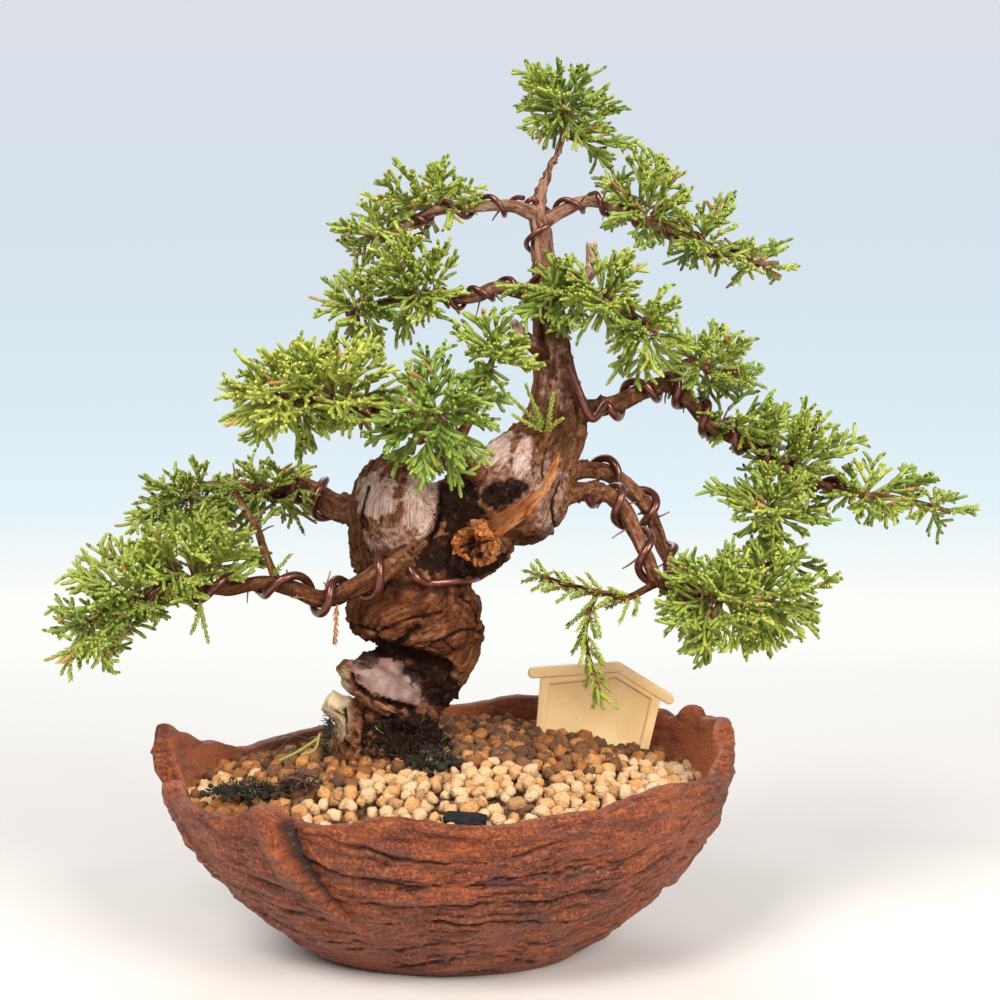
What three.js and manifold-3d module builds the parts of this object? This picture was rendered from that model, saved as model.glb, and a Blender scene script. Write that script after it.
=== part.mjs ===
// A wired juniper bonsai in a hand-shaped crescent pot.
// Units are millimetres and +Z is up. The origin is the centre of the pot's flat foot, and the
// pot's long low front faces -Y.
import * as THREE from "three";
import { mergeVertices } from "three/addons/utils/BufferGeometryUtils.js";
import Module from "manifold-3d";

const wasm = await Module();
wasm.setup();

// ---------------------------------------------------------------- driving dimensions

const GAP = 0.3; // clearance between pieces that touch
const MERGE_TOLERANCE = 1e-3;
const FULL_TURN = 2 * Math.PI;

// The pot is an oval bowl. Its rim rises and falls, so the rim is a list of [degrees, height]
// stations, counted from +X towards the back.
const POT_HALF_WIDTH = 94;
const POT_FRONT_REACH = 76;
const POT_BACK_REACH = 66;
const FOOT_HALF_WIDTH = 42;
const FOOT_HALF_DEPTH = 28;
const POT_FULL_HEIGHT = 75;
const POT_BELLY = 2.3;
const POT_WALL = 6;
const POT_FLOOR = 8;
const RIM_ROUNDING = 1.5;
const OUTER_WALL_SHARES = [0, 0.1, 0.26, 0.45, 0.65, 0.85]; // of the height up to the rim
const INNER_WALL_HEIGHTS = [12, 22, 34, 46];
const POT_SEGMENTS = 40;
const RIM_STATIONS = [
  [0, 75],
  [13, 74.5],
  [22, 77],
  [28, 72.5],
  [40, 73],
  [74, 74.5],
  [89, 70.5],
  [120, 64],
  [146, 60],
  [161, 66],
  [176, 72.5],
  [188, 57],
  [198, 56],
  [210, 54],
  [223, 54.5],
  [236, 60],
  [244, 55.5],
  [261, 59.5],
  [277, 57],
  [299, 59.5],
  [316, 64],
  [340, 62],
  [352, 69],
  [360, 75],
];

// Two drain holes in the foot, each under a square of plastic mesh.
const DRAIN_OFFSET = 21;
const DRAIN_RADIUS = 6.5;
const DRAIN_SIDES = 16;
// The middle of the foot, with the drain holes, is a node of its own, so that collision can be
// shaped round the holes. On the real pot it is one piece with the wall.
const PLATE_HALF_WIDTH = 36;
const PLATE_HALF_DEPTH = 22;
const PLATE_SIDES = 32;
const MESH_SIDE = 20;
const MESH_THICKNESS = 1.2;
const MESH_OPENING = 3.4;
const MESH_BAR = 1.8;
const MESH_OPENINGS_A_SIDE = 3;

// The soil is a low mound that meets the wall a little under the rim, with a loose top layer.
const SOIL_PEAK = new THREE.Vector3(2, 25, 69);
const SOIL_FALL_X = 0.0019;
const SOIL_FALL_Y = 0.0014;
const SOIL_UNDER_RIM = 2.5;
const SOIL_WALL_GAP = 0.85;
const SOIL_FLOOR = POT_FLOOR + GAP + MESH_THICKNESS + GAP;
const TOP_LAYER = 5.5;
const LAYER_GAP = 0.9; // under the loose top layer, whose facets are turned the other way
const SOIL_RING_SHARES = [0.4, 0.7, 0.88, 1]; // of the way from the middle to the wall
const SOIL_EDGE_FROM = 0.7; // from this share on, the mound bends down to the rim
// The line in plan between the pale grit, in front and at the right, and the brown grit.
const GRIT_LINE = [
  [-40, -110],
  [-38, -36],
  [-2, -18],
  [36, -20],
  [62, 5],
  [120, 62],
];
const GRIT_OUTER_CORNER = [120, -110];

// The wood. Each route is a list of [x, y, z, radius].
const WOOD_ROUTES = {
  trunk: [
    [-19, 2, 44, 17],
    [-19, 1, 54, 18],
    [-19, 0, 63, 19.5],
    [-19, 0, 72, 17],
    [-16, 2, 82, 14.5],
    [-12, 4, 91, 15.5],
    [-10, 3, 101, 18],
    [-10, 0, 112, 21],
    [-10, -2, 123, 20.5],
    [-6, -3, 135, 21],
    [4, -3, 145, 21],
    [17, -2, 152, 20],
    [27, 0, 161, 17],
    [34, 2, 171, 12.5],
    [36, 2, 181, 9],
    [36, 2, 193, 7.2],
    [34, 0, 204, 6.2],
    [33, 0, 216, 5],
    [31, -1, 226, 4.2],
    [30, -1, 236, 3.6],
    [29, 0, 245, 3],
    [32, 0, 253, 2.2],
    [34, 0, 259, 1.9],
    [37, 0, 265, 1.6],
    [39, 0, 275, 1.1],
  ],
  lower_left: [
    [-8, -12, 134, 4.2],
    [-16, -18, 128.5, 3.9],
    [-24, -21, 123, 3.5],
    [-32, -22, 119, 3.2],
    [-39, -22, 117, 3],
    [-48, -20, 120, 2.8],
    [-58, -18, 122, 2.5],
    [-69, -18, 120, 2.3],
    [-80, -18, 120, 1.9],
    [-90, -20, 118, 1.6],
    [-100, -20, 115, 1.3],
    [-108, -20, 115, 1],
    [-115, -20, 108, 0.9],
  ],
  lower_left_riser: [
    [-53, -19, 121, 1.7],
    [-58, -14, 131, 1.3],
    [-62, -8, 139, 1.1],
    [-67, 0, 145, 1],
    [-71, 4, 151, 0.9],
  ],
  upper_left_low: [
    [-15, 2, 144, 6],
    [-32, 12, 144, 5],
    [-40, 14, 146, 4.6],
    [-47, 16, 151, 3.8],
    [-55, 18, 153, 3],
    [-65, 20, 151, 2.2],
    [-74, 20, 153, 1.6],
    [-85, 20, 153, 1.1],
    [-93, 18, 150, 0.9],
  ],
  front: [
    [14, -10, 152, 4.9],
    [8, -24, 158, 3.6],
    [2, -34, 163, 3.1],
    [-5, -44, 169, 2.6],
    [-14, -50, 172, 2.2],
    [-24, -50, 175, 1.8],
    [-35, -48, 177, 1.4],
    [-45, -46, 179, 1.1],
    [-55, -44, 179, 0.9],
  ],
  front_fork: [
    [-5, -44, 169, 2.4],
    [-4, -54, 172, 1.6],
    [-2, -64, 173, 1.1],
    [-1, -72, 174, 0.9],
  ],
  front_riser: [
    [2, -34, 163, 2.2],
    [8, -38, 173, 1.4],
    [12, -42, 182, 1.1],
    [15, -44, 191, 0.9],
  ],
  upper_left: [
    [33, 0, 215, 3.2],
    [24, -4, 216, 2.5],
    [16, -6, 217, 2.3],
    [9, -8, 214, 2.1],
    [2, -8, 213, 1.9],
    [-6, -8, 214, 1.6],
    [-15, -8, 213, 1.3],
    [-24, -8, 211, 1.1],
    [-33, -8, 208, 0.9],
  ],
  top_left: [
    [29, 0, 242, 2.9],
    [22, -3, 244, 2.2],
    [16, -5, 244, 2.1],
    [6, -6, 243, 1.9],
    [-4, -6, 242, 1.7],
    [-11, -6, 239, 1.5],
    [-19, -6, 235, 1.3],
    [-27, -6, 233, 1],
    [-32, -6, 231, 0.9],
  ],
  top_right: [
    [29, 0, 239, 2.9],
    [36, 3, 243, 2.3],
    [44, 5, 247, 2.1],
    [50, 6, 247, 1.9],
    [58, 6, 244, 1.8],
    [66, 6, 241, 1.6],
    [74, 6, 238, 1.4],
    [85, 6, 233, 1.3],
    [95, 6, 229, 1.1],
    [104, 6, 227, 0.9],
    [110, 6, 227, 0.9],
  ],
  centre: [
    [33, -2, 214, 3.1],
    [38, -12, 215, 2.3],
    [45, -20, 213, 1.9],
    [52, -24, 209, 1.6],
    [61, -26, 204, 1.1],
    [66, -26, 200, 0.9],
  ],
  right_mid: [
    [36, 1, 176, 4.5],
    [47, 2, 178, 3.2],
    [56, 3, 180, 3],
    [66, 4, 185, 2.9],
    [73, 4, 186, 2.7],
    [80, 4, 181, 2.5],
    [86, 4, 174, 2.3],
    [93, 4, 169, 2.1],
    [101, 4, 166, 1.9],
    [108, 4, 160, 1.8],
    [117, 4, 156, 1.6],
    [127, 4, 152, 1.4],
    [137, 4, 150, 1.3],
    [147, 4, 149, 1],
    [157, 4, 147, 0.9],
    [167, 4, 144, 0.9],
  ],
  right_mid_twig: [
    [74, 4, 187, 1.8],
    [80, 2, 194, 1.3],
    [87, 0, 190, 1.1],
    [95, -2, 190, 0.9],
  ],
  right_low_back: [
    [32, 4, 157, 4.9],
    [47, 12, 158, 3.1],
    [54, 14, 157, 3],
    [61, 16, 152, 2.8],
    [67, 18, 146, 2.7],
    [70, 18, 139, 2.5],
    [73, 14, 130, 2.3],
    [77, 10, 124, 2],
    [86, 8, 122, 1.6],
    [98, 6, 123, 1.3],
    [108, 4, 128, 1.1],
    [110, 2, 137, 0.9],
    [106, 0, 145, 0.9],
  ],
  right_low_front: [
    [30, -3, 148, 4.9],
    [45, -1, 151, 3.1],
    [52, -1, 150, 2.9],
    [57, -2, 146, 2.8],
    [61, -4, 138, 2.6],
    [65, -6, 129, 2.4],
    [68, -10, 122, 2.2],
    [75, -12, 120, 1.8],
    [83, -14, 119, 1.5],
    [91, -14, 116, 1.2],
    [98, -14, 114, 0.9],
  ],
  right_hang: [
    [67, -10, 121, 1.5],
    [58, -14, 117, 1.1],
    [48, -17, 119, 1],
    [39, -18, 121, 0.9],
    [30, -19, 124, 0.9],
  ],
  right_hang_down: [
    [48, -17, 119, 1],
    [45, -19, 112, 0.9],
    [44, -20, 104, 0.9],
    [46, -21, 95, 0.9],
    [48, -21, 88, 0.9],
  ],
  torn_strip: [
    [2, -17, 130, 5],
    [9, -22, 135, 4.5],
    [18, -22, 141, 3.6],
    [28, -19, 150, 2.6],
    [33, -17, 158, 1.4],
  ],
  top_stub: [
    [34, -1, 218, 2.8],
    [46, -4, 222, 2.3],
    [47, -4, 232, 2],
  ],
  torn_stub: [
    [32, -2, 196, 3],
    [25, -6, 201, 2.1],
    [21, -8, 206, 1.4],
  ],
  root_stub: [
    [-22, -4, 76, 6],
    [-33, -7, 80, 4.6],
    [-38, -7, 83, 3.6],
  ],
};
const TRUNK_SIDES = 12;
const BRANCH_SIDES = 7;
const TWIG_SIDES = 5;
const ROOM_SIDES = 6; // of the room left round a limb
const TWIG_FROM_RADIUS = 3.5; // a limb that starts thinner than this has fewer sides
// The bulges of the old trunk, as [x, y, z, half width, half depth, half height].
const TRUNK_BULGES = [
  [-17, -5, 146, 14, 14, 21],
  [-19, -6, 68, 17, 15, 12],
];

// The training wires, each wound on one limb from one share of its length to another.
const THICK_WIRE = 1.4;
const THIN_WIRE = 0.9;
const WIRE_SIDES = 5;
const WIRE_STAND_OFF = 0.9; // from the wire to the bark
const WIRE_STEPS_A_TURN = 7;
const WIRES = {
  lower_left: { from: 0.2, to: 0.8, turns: 4, start: 0.1, radius: THICK_WIRE },
  upper_left_low: { from: 0.22, to: 0.66, turns: 3.5, start: 0.6, radius: THICK_WIRE },
  front: { from: 0.2, to: 0.62, turns: 3.5, start: 0, radius: THICK_WIRE },
  upper_left: { from: 0.16, to: 0.7, turns: 3, start: 0.3, radius: THIN_WIRE },
  top_left: { from: 0.14, to: 0.72, turns: 3.5, start: 0.5, radius: THIN_WIRE },
  top_right: { from: 0.12, to: 0.84, turns: 6, start: 0.2, radius: THIN_WIRE },
  centre: { from: 0.26, to: 0.72, turns: 2.5, start: 0.4, radius: THIN_WIRE },
  right_mid: { from: 0.1, to: 0.76, turns: 7, start: 0.7, radius: THICK_WIRE },
  right_low_back: { from: 0.1, to: 0.62, turns: 3, start: 0.2, radius: THICK_WIRE },
  right_low_front: { from: 0.1, to: 0.8, turns: 3.5, start: 0.8, radius: THICK_WIRE },
};
// The lower left wire is anchored by a turn round the trunk, from behind it, past its right side
// and across its front, and then under the branch.
const ANCHOR_CENTRE = [-10, -2];
const ANCHOR_RADIUS = 23.6;
const ANCHOR_FROM = THREE.MathUtils.degToRad(100);
const ANCHOR_TO = THREE.MathUtils.degToRad(-90);
const ANCHOR_TOP = 126;
const ANCHOR_BOTTOM = 120;
const ANCHOR_STEPS = 9;
const ANCHOR_END = [-17, -27, 116.5];

// The leafy pads, each a few soft bulges: [x, y, z, half width, half depth, half height].
const PAD_BULGES = {
  apex: [
    [37, 0, 279, 17, 17, 16],
    [52, 4, 267, 10, 10, 13],
  ],
  top_left: [
    [-4, -6, 246, 16, 17, 12],
    [-22, -6, 235, 13, 17, 11],
  ],
  top_right: [
    [66, 6, 247, 15, 17, 16],
    [85, 6, 235, 15, 16, 12],
    [102, 8, 228, 12, 12, 8],
  ],
  upper_left: [
    [-9, -10, 217, 15, 19, 15],
    [-28, -8, 211, 13, 18, 12],
  ],
  centre: [
    [32, -22, 212, 14, 15, 12],
    [49, -26, 211, 14, 17, 14],
    [61, -26, 199, 13, 17, 14],
  ],
  front_left: [
    [-47, -45, 178, 16, 24, 17],
    [-29, -45, 182, 17, 26, 16],
  ],
  front: [[-2, -64, 171, 17, 22, 19]],
  front_riser: [[15, -46, 189, 12, 15, 14]],
  upper_left_low: [
    [-63, 18, 149, 21, 22, 12],
    [-86, 14, 145, 19, 24, 14],
  ],
  lower_left: [
    [-80, -22, 131, 19, 25, 13],
    [-101, -22, 121, 19, 27, 16],
    [-114, -22, 108, 16, 22, 14],
  ],
  right_inner: [
    [84, 4, 193, 16, 18, 15],
    [97, 6, 179, 16, 20, 17],
  ],
  right_mid: [[115, 6, 165, 17, 20, 15]],
  right_outer: [
    [139, 4, 150, 19, 15, 10],
    [163, 4, 145, 14, 10, 7],
  ],
  right_low_upper: [[105, 0, 144, 18, 20, 15]],
  right_low: [
    [85, -16, 114, 18, 24, 20],
    [105, -6, 119, 18, 20, 20],
  ],
  right_hang: [
    [38, -18, 123, 17, 12, 11],
    [46, -21, 101, 11, 11, 19],
  ],
};
const PAD_AROUND = 9;
const PAD_UPWARDS = 6;

// What lies on the soil: two tufts of dark moss and a charcoal chip, as bulges.
const MOSS_BULGES = {
  moss_front_left: [-62, -28, 57, 13, 8, 4],
  moss_at_trunk: [-4, -23, 65, 8, 6, 6],
};
const CHIP_SIZE = [13, 5, 4];
const CHIP_PLACE = [8, -59, 59.4];
const CHIP_TILT = THREE.MathUtils.degToRad(-7);

// The blank plant label: a little house outline, stuck in the soil and leaning to the right.
const LABEL_THICKNESS = 2;
const LABEL_BOTTOM_HALF_WIDTH = 19;
const LABEL_EAVES_HALF_WIDTH = 22;
const LABEL_EAVES_HEIGHT = 22;
const LABEL_PEAK = [4.8, 29.5];
const LABEL_IN_SOIL = 12;
const LABEL_BORDER = 4;
const LABEL_EAVES_BORDER = 0.5; // the border at the eaves, as a share of the border elsewhere
const LABEL_RECESS = 0.7;
const LABEL_ROOF_OVERHANG = 3.4;
const LABEL_ROOF_DROP = 1; // the middle of the roof bar's low end, under the eaves
const LABEL_ROOF_END_SEGMENTS = 4;
const LABEL_ROOF_THICKNESS = 4.2;
const LABEL_ROOF_DEPTH = 3.2;
const LABEL_PLACE = [49, 30, 61];
const LABEL_LEAN = THREE.MathUtils.degToRad(9);

// ---------------------------------------------------------------- joining and cutting

function toSolid(geometry) {
  const bare = geometry.clone();
  bare.deleteAttribute("normal");
  bare.deleteAttribute("uv");
  const merged = mergeVertices(bare, MERGE_TOLERANCE);
  const corners = new Uint32Array(merged.index.array);
  const build = () =>
    new wasm.Manifold(
      new wasm.Mesh({
        numProp: 3,
        vertProperties: merged.getAttribute("position").array,
        triVerts: corners,
      }),
    );
  const solid = build();
  if (solid.volume() >= 0) return solid;
  for (let i = 0; i < corners.length; i += 3) {
    [corners[i + 1], corners[i + 2]] = [corners[i + 2], corners[i + 1]];
  }
  return build();
}

function toGeometry(solid) {
  const mesh = solid.getMesh();
  const geometry = new THREE.BufferGeometry();
  geometry.setAttribute("position", new THREE.BufferAttribute(mesh.vertProperties, 3));
  geometry.setIndex(new THREE.BufferAttribute(mesh.triVerts, 1));
  geometry.computeVertexNormals();
  return geometry;
}

function join(solids) {
  return solids.reduce((whole, solid) => whole.add(solid));
}

function cutBy(solid, tools) {
  return tools.reduce((left, tool) => left.subtract(tool), solid);
}

// A cut through a thin soft edge can leave crumbs, so only the biggest body is kept.
function biggestBody(solid) {
  return solid.decompose().reduce((best, body) => (body.volume() > best.volume() ? body : best));
}

// ---------------------------------------------------------------- shared shapes

// A closed skin round the vertical axis. Its first and last rows are single points.
function wrappedSkin(turns, rows, place) {
  const profile = Array.from(
    { length: rows },
    (_, row) => new THREE.Vector2(row === 0 || row === rows - 1 ? 0 : 1, row),
  );
  const skin = new THREE.LatheGeometry(profile, turns);
  const position = skin.getAttribute("position");
  for (let i = 0; i < position.count; i += 1) {
    const angle = ((Math.floor(i / rows) % turns) * FULL_TURN) / turns;
    position.setXYZ(i, ...place(angle, i % rows));
  }
  return skin;
}

// An egg-like bulge from its centre and three half sizes.
function bulge([x, y, z, halfX, halfY, halfZ], grow = 0) {
  return new THREE.SphereGeometry(1, PAD_AROUND, PAD_UPWARDS)
    .rotateX(Math.PI / 2)
    .scale(halfX + grow, halfY + grow, halfZ + grow)
    .translate(x, y, z);
}

function routeCurve(route) {
  const points = route.map(([x, y, z]) => new THREE.Vector3(x, y, z));
  return new THREE.CatmullRomCurve3(points, false, "centripetal");
}

// The radius at a share of the route, where each point of the route takes an equal share.
function radiusAt(route, share) {
  const along = share * (route.length - 1);
  const index = Math.min(Math.floor(along), route.length - 2);
  return THREE.MathUtils.lerp(route[index][3], route[index + 1][3], along - index);
}

// Points along a curve, each with two directions across it that don't twist on the way.
function framesAlong(curve, from, to, steps) {
  const frames = [];
  let tangent = curve.getTangent(from);
  const across = new THREE.Vector3(-tangent.z, tangent.x, tangent.y).cross(tangent).normalize();
  for (let step = 0; step <= steps; step += 1) {
    const share = THREE.MathUtils.lerp(from, to, step / steps);
    const next = curve.getTangent(share);
    across.applyQuaternion(new THREE.Quaternion().setFromUnitVectors(tangent, next));
    tangent = next;
    const side = next.clone().cross(across);
    frames.push({ share, point: curve.getPoint(share), across: across.clone(), side });
  }
  return frames;
}

// A closed tube that follows a route and takes its radius at each point, plus a growth.
function limb(route, sides, grow = 0) {
  const steps = route.length - 1;
  const frames = framesAlong(routeCurve(route), 0, 1, steps);
  const tube = new THREE.CylinderGeometry(1, 1, 1, sides, steps);
  const position = tube.getAttribute("position");
  for (let i = 0; i < position.count; i += 1) {
    const { share, point, across, side } = frames[Math.round((0.5 - position.getY(i)) * steps)];
    const radius = radiusAt(route, share) + grow;
    const moved = point
      .clone()
      .addScaledVector(across, position.getX(i) * radius)
      .addScaledVector(side, position.getZ(i) * radius);
    position.setXYZ(i, moved.x, moved.y, moved.z);
  }
  return tube;
}

// ---------------------------------------------------------------- pot

function rimHeight(angle) {
  const degrees = THREE.MathUtils.euclideanModulo(THREE.MathUtils.radToDeg(angle), 360);
  const next = RIM_STATIONS.findIndex(([station]) => station > degrees);
  const [endAt, endHeight] = RIM_STATIONS[next];
  const [startAt, startHeight] = RIM_STATIONS[next - 1];
  const share = THREE.MathUtils.smoothstep(degrees, startAt, endAt);
  return THREE.MathUtils.lerp(startHeight, endHeight, share);
}

// A point on the bowl's outer wall, moved in by an inset.
function bowlPoint(angle, height, inset = 0) {
  const fullReachY = Math.sin(angle) < 0 ? POT_FRONT_REACH : POT_BACK_REACH;
  const left = Math.max(1 - height / POT_FULL_HEIGHT, 0);
  const swell = 1 - left ** POT_BELLY;
  const reachX = THREE.MathUtils.lerp(FOOT_HALF_WIDTH, POT_HALF_WIDTH, swell) - inset;
  const reachY = THREE.MathUtils.lerp(FOOT_HALF_DEPTH, fullReachY, swell) - inset;
  return [reachX * Math.cos(angle), reachY * Math.sin(angle), height];
}

function drainHole(side) {
  return new THREE.CylinderGeometry(DRAIN_RADIUS, DRAIN_RADIUS, 3 * POT_FLOOR, DRAIN_SIDES)
    .rotateX(Math.PI / 2)
    .translate(side * DRAIN_OFFSET, 0, POT_FLOOR / 2);
}

function pot() {
  const innerHeights = [...INNER_WALL_HEIGHTS].reverse();
  const rows = [
    () => [0, 0, 0],
    ...OUTER_WALL_SHARES.map((share) => (angle) => bowlPoint(angle, share * rimHeight(angle))),
    (angle) => bowlPoint(angle, rimHeight(angle) - RIM_ROUNDING),
    (angle) => bowlPoint(angle, rimHeight(angle), POT_WALL / 2),
    (angle) => bowlPoint(angle, rimHeight(angle) - RIM_ROUNDING, POT_WALL),
    (angle) => bowlPoint(angle, (rimHeight(angle) + innerHeights[0]) / 2, POT_WALL),
    ...innerHeights.map((height) => (angle) => bowlPoint(angle, height, POT_WALL)),
    (angle) => {
      const [x, y] = bowlPoint(angle, POT_FLOOR, 2 * POT_WALL);
      return [x, y, POT_FLOOR];
    },
    () => [0, 0, POT_FLOOR],
  ];
  return toSolid(wrappedSkin(POT_SEGMENTS, rows.length, (angle, row) => rows[row](angle)));
}

// An upright oval block through the middle of the foot, grown by a gap.
function plateBlock(gap = 0) {
  const block = new THREE.CylinderGeometry(1, 1, 3 * POT_FLOOR, PLATE_SIDES);
  block.rotateX(Math.PI / 2).scale(PLATE_HALF_WIDTH + gap, PLATE_HALF_DEPTH + gap, 1);
  return toSolid(block);
}

function footPlate(bowl) {
  const holes = [-1, 1].map((side) => toSolid(drainHole(side)));
  return cutBy(bowl.intersect(plateBlock()), holes);
}

function drainMesh(side) {
  const middle = POT_FLOOR + GAP + MESH_THICKNESS / 2;
  const sheet = new THREE.BoxGeometry(MESH_SIDE, MESH_SIDE, MESH_THICKNESS);
  sheet.translate(side * DRAIN_OFFSET, 0, middle);
  const pitch = MESH_OPENING + MESH_BAR;
  const first = (-pitch * (MESH_OPENINGS_A_SIDE - 1)) / 2;
  const openings = Array.from({ length: MESH_OPENINGS_A_SIDE ** 2 }, (_, i) => {
    const x = side * DRAIN_OFFSET + first + pitch * (i % MESH_OPENINGS_A_SIDE);
    const y = first + pitch * Math.floor(i / MESH_OPENINGS_A_SIDE);
    const opening = new THREE.BoxGeometry(MESH_OPENING, MESH_OPENING, 3 * MESH_THICKNESS);
    return toSolid(opening.translate(x, y, middle));
  });
  return cutBy(toSolid(sheet), openings);
}

// ---------------------------------------------------------------- soil

// The mound's height, which falls to a little under the rim where it nears the wall.
function soilHeight(angle, share) {
  const edge = rimHeight(angle) - SOIL_UNDER_RIM;
  const [x, y] = bowlPoint(angle, edge, POT_WALL + SOIL_WALL_GAP).map((value) => value * share);
  const mound =
    SOIL_PEAK.z - SOIL_FALL_X * (x - SOIL_PEAK.x) ** 2 - SOIL_FALL_Y * (y - SOIL_PEAK.y) ** 2;
  const near = THREE.MathUtils.smoothstep(share, SOIL_EDGE_FROM, 1);
  return THREE.MathUtils.lerp(mound, Math.min(mound, edge), near);
}

function soilPoint(angle, share, sink) {
  const bedEdge = soilHeight(angle, 1) - TOP_LAYER - LAYER_GAP;
  const [x, y] = bowlPoint(angle, bedEdge, POT_WALL + SOIL_WALL_GAP);
  return [x * share, y * share, soilHeight(angle, share) - sink];
}

function soilBed() {
  const wallHeights = [...INNER_WALL_HEIGHTS].reverse();
  const rows = [
    () => [0, 0, soilHeight(0, 0) - TOP_LAYER - LAYER_GAP],
    ...SOIL_RING_SHARES.map((share) => (angle) => soilPoint(angle, share, TOP_LAYER + LAYER_GAP)),
    ...wallHeights.map((height) => (angle) => {
      const top = soilHeight(angle, 1) - TOP_LAYER - LAYER_GAP;
      return bowlPoint(angle, Math.min(height, top - GAP), POT_WALL + SOIL_WALL_GAP);
    }),
    (angle) => {
      const [x, y] = bowlPoint(angle, SOIL_FLOOR, 2 * POT_WALL + SOIL_WALL_GAP);
      return [x, y, SOIL_FLOOR];
    },
    () => [0, 0, SOIL_FLOOR],
  ];
  return toSolid(wrappedSkin(POT_SEGMENTS, rows.length, (angle, row) => rows[row](angle)));
}

function topLayer(lift = 0) {
  const under = [...SOIL_RING_SHARES].reverse();
  const rows = [
    () => [0, 0, soilHeight(0, 0)],
    ...SOIL_RING_SHARES.map((share) => (angle) => soilPoint(angle, share, 0)),
    ...under.map((share) => (angle) => soilPoint(angle, share, TOP_LAYER)),
    () => [0, 0, soilHeight(0, 0) - TOP_LAYER],
  ];
  const skin = wrappedSkin(POT_SEGMENTS, rows.length, (angle, row) => rows[row](angle));
  return toSolid(skin.translate(0, 0, lift));
}

// A tall block over the pale grit's side of the line, moved off the line by a gap.
function paleSide(gap) {
  const corners = [...GRIT_LINE, GRIT_OUTER_CORNER].map(([x, y]) => new THREE.Vector2(x, y));
  const block = new THREE.ExtrudeGeometry(new THREE.Shape(corners), {
    depth: 2 * POT_FULL_HEIGHT,
    bevelEnabled: false,
  });
  return toSolid(block.translate(-gap, gap, 0));
}

// ---------------------------------------------------------------- tree

function anchorRoute() {
  const [x, y] = ANCHOR_CENTRE;
  const turn = Array.from({ length: ANCHOR_STEPS }, (_, step) => {
    const share = step / (ANCHOR_STEPS - 1);
    const angle = THREE.MathUtils.lerp(ANCHOR_FROM, ANCHOR_TO, share);
    return new THREE.Vector3(
      x + ANCHOR_RADIUS * Math.cos(angle),
      y + ANCHOR_RADIUS * Math.sin(angle),
      THREE.MathUtils.lerp(ANCHOR_TOP, ANCHOR_BOTTOM, share),
    );
  });
  return [...turn, new THREE.Vector3(...ANCHOR_END)];
}

function spiralRoute(name) {
  const { from, to, turns, start, radius } = WIRES[name];
  const route = WOOD_ROUTES[name];
  const steps = Math.round(turns * WIRE_STEPS_A_TURN);
  const frames = framesAlong(routeCurve(route), from, to, steps);
  return frames.map(({ share, point, across, side }, step) => {
    const angle = FULL_TURN * (start + (turns * step) / steps);
    const reach = radiusAt(route, share) + radius + WIRE_STAND_OFF;
    return point
      .clone()
      .addScaledVector(across, Math.cos(angle) * reach)
      .addScaledVector(side, Math.sin(angle) * reach);
  });
}

function wire(name, grow = 0) {
  const radius = WIRES[name].radius + grow;
  const section = new THREE.Shape(
    Array.from({ length: WIRE_SIDES }, (_, side) => {
      const angle = (FULL_TURN * side) / WIRE_SIDES;
      return new THREE.Vector2(radius * Math.cos(angle), radius * Math.sin(angle));
    }),
  );
  const lead = name === "lower_left" ? anchorRoute() : [];
  const route = [...lead, ...spiralRoute(name)];
  return toSolid(
    new THREE.ExtrudeGeometry(section, {
      steps: route.length - 1,
      bevelEnabled: false,
      extrudePath: new THREE.CatmullRomCurve3(route),
    }),
  );
}

function limbSides(name) {
  if (name === "trunk") return TRUNK_SIDES;
  return WOOD_ROUTES[name][0][3] < TWIG_FROM_RADIUS ? TWIG_SIDES : BRANCH_SIDES;
}

function wholeWood(grow = 0) {
  const limbs = Object.keys(WOOD_ROUTES).map((name) =>
    toSolid(limb(WOOD_ROUTES[name], limbSides(name), grow)),
  );
  const bulges = TRUNK_BULGES.map((shape) => toSolid(bulge(shape, grow)));
  return join([...limbs, ...bulges]);
}

// The room that the pads leave round the limbs, wide enough for the wires on them.
function limbRoom() {
  const limbs = Object.entries(WOOD_ROUTES).map(([name, route]) => {
    const wireRoom = name in WIRES ? 2 * WIRES[name].radius + WIRE_STAND_OFF : GAP;
    const sides = name === "trunk" ? TRUNK_SIDES : ROOM_SIDES;
    const thickest = route[0][3] + wireRoom;
    const corners = thickest * (1 / Math.cos(Math.PI / sides) - 1);
    return toSolid(limb(route, sides, wireRoom + 2 * GAP + corners));
  });
  return join(limbs);
}

function pad(name, grow = 0) {
  return join(PAD_BULGES[name].map((shape) => toSolid(bulge(shape, grow))));
}

// ---------------------------------------------------------------- label

// The label's outline in its own plane, drawn in by an inset.
function labelOutline(inset, bottom) {
  const [peakX, peakY] = LABEL_PEAK;
  const eaves = LABEL_EAVES_HEIGHT - inset * LABEL_EAVES_BORDER;
  return [
    [-LABEL_BOTTOM_HALF_WIDTH + inset, bottom],
    [LABEL_BOTTOM_HALF_WIDTH - inset, bottom],
    [LABEL_EAVES_HALF_WIDTH - inset, eaves],
    [peakX, peakY - inset],
    [-LABEL_EAVES_HALF_WIDTH + inset, eaves],
  ].map(([x, y]) => new THREE.Vector2(x, y));
}

function labelSlab(corners, depth) {
  return new THREE.ExtrudeGeometry(new THREE.Shape(corners), { depth, bevelEnabled: false });
}

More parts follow.
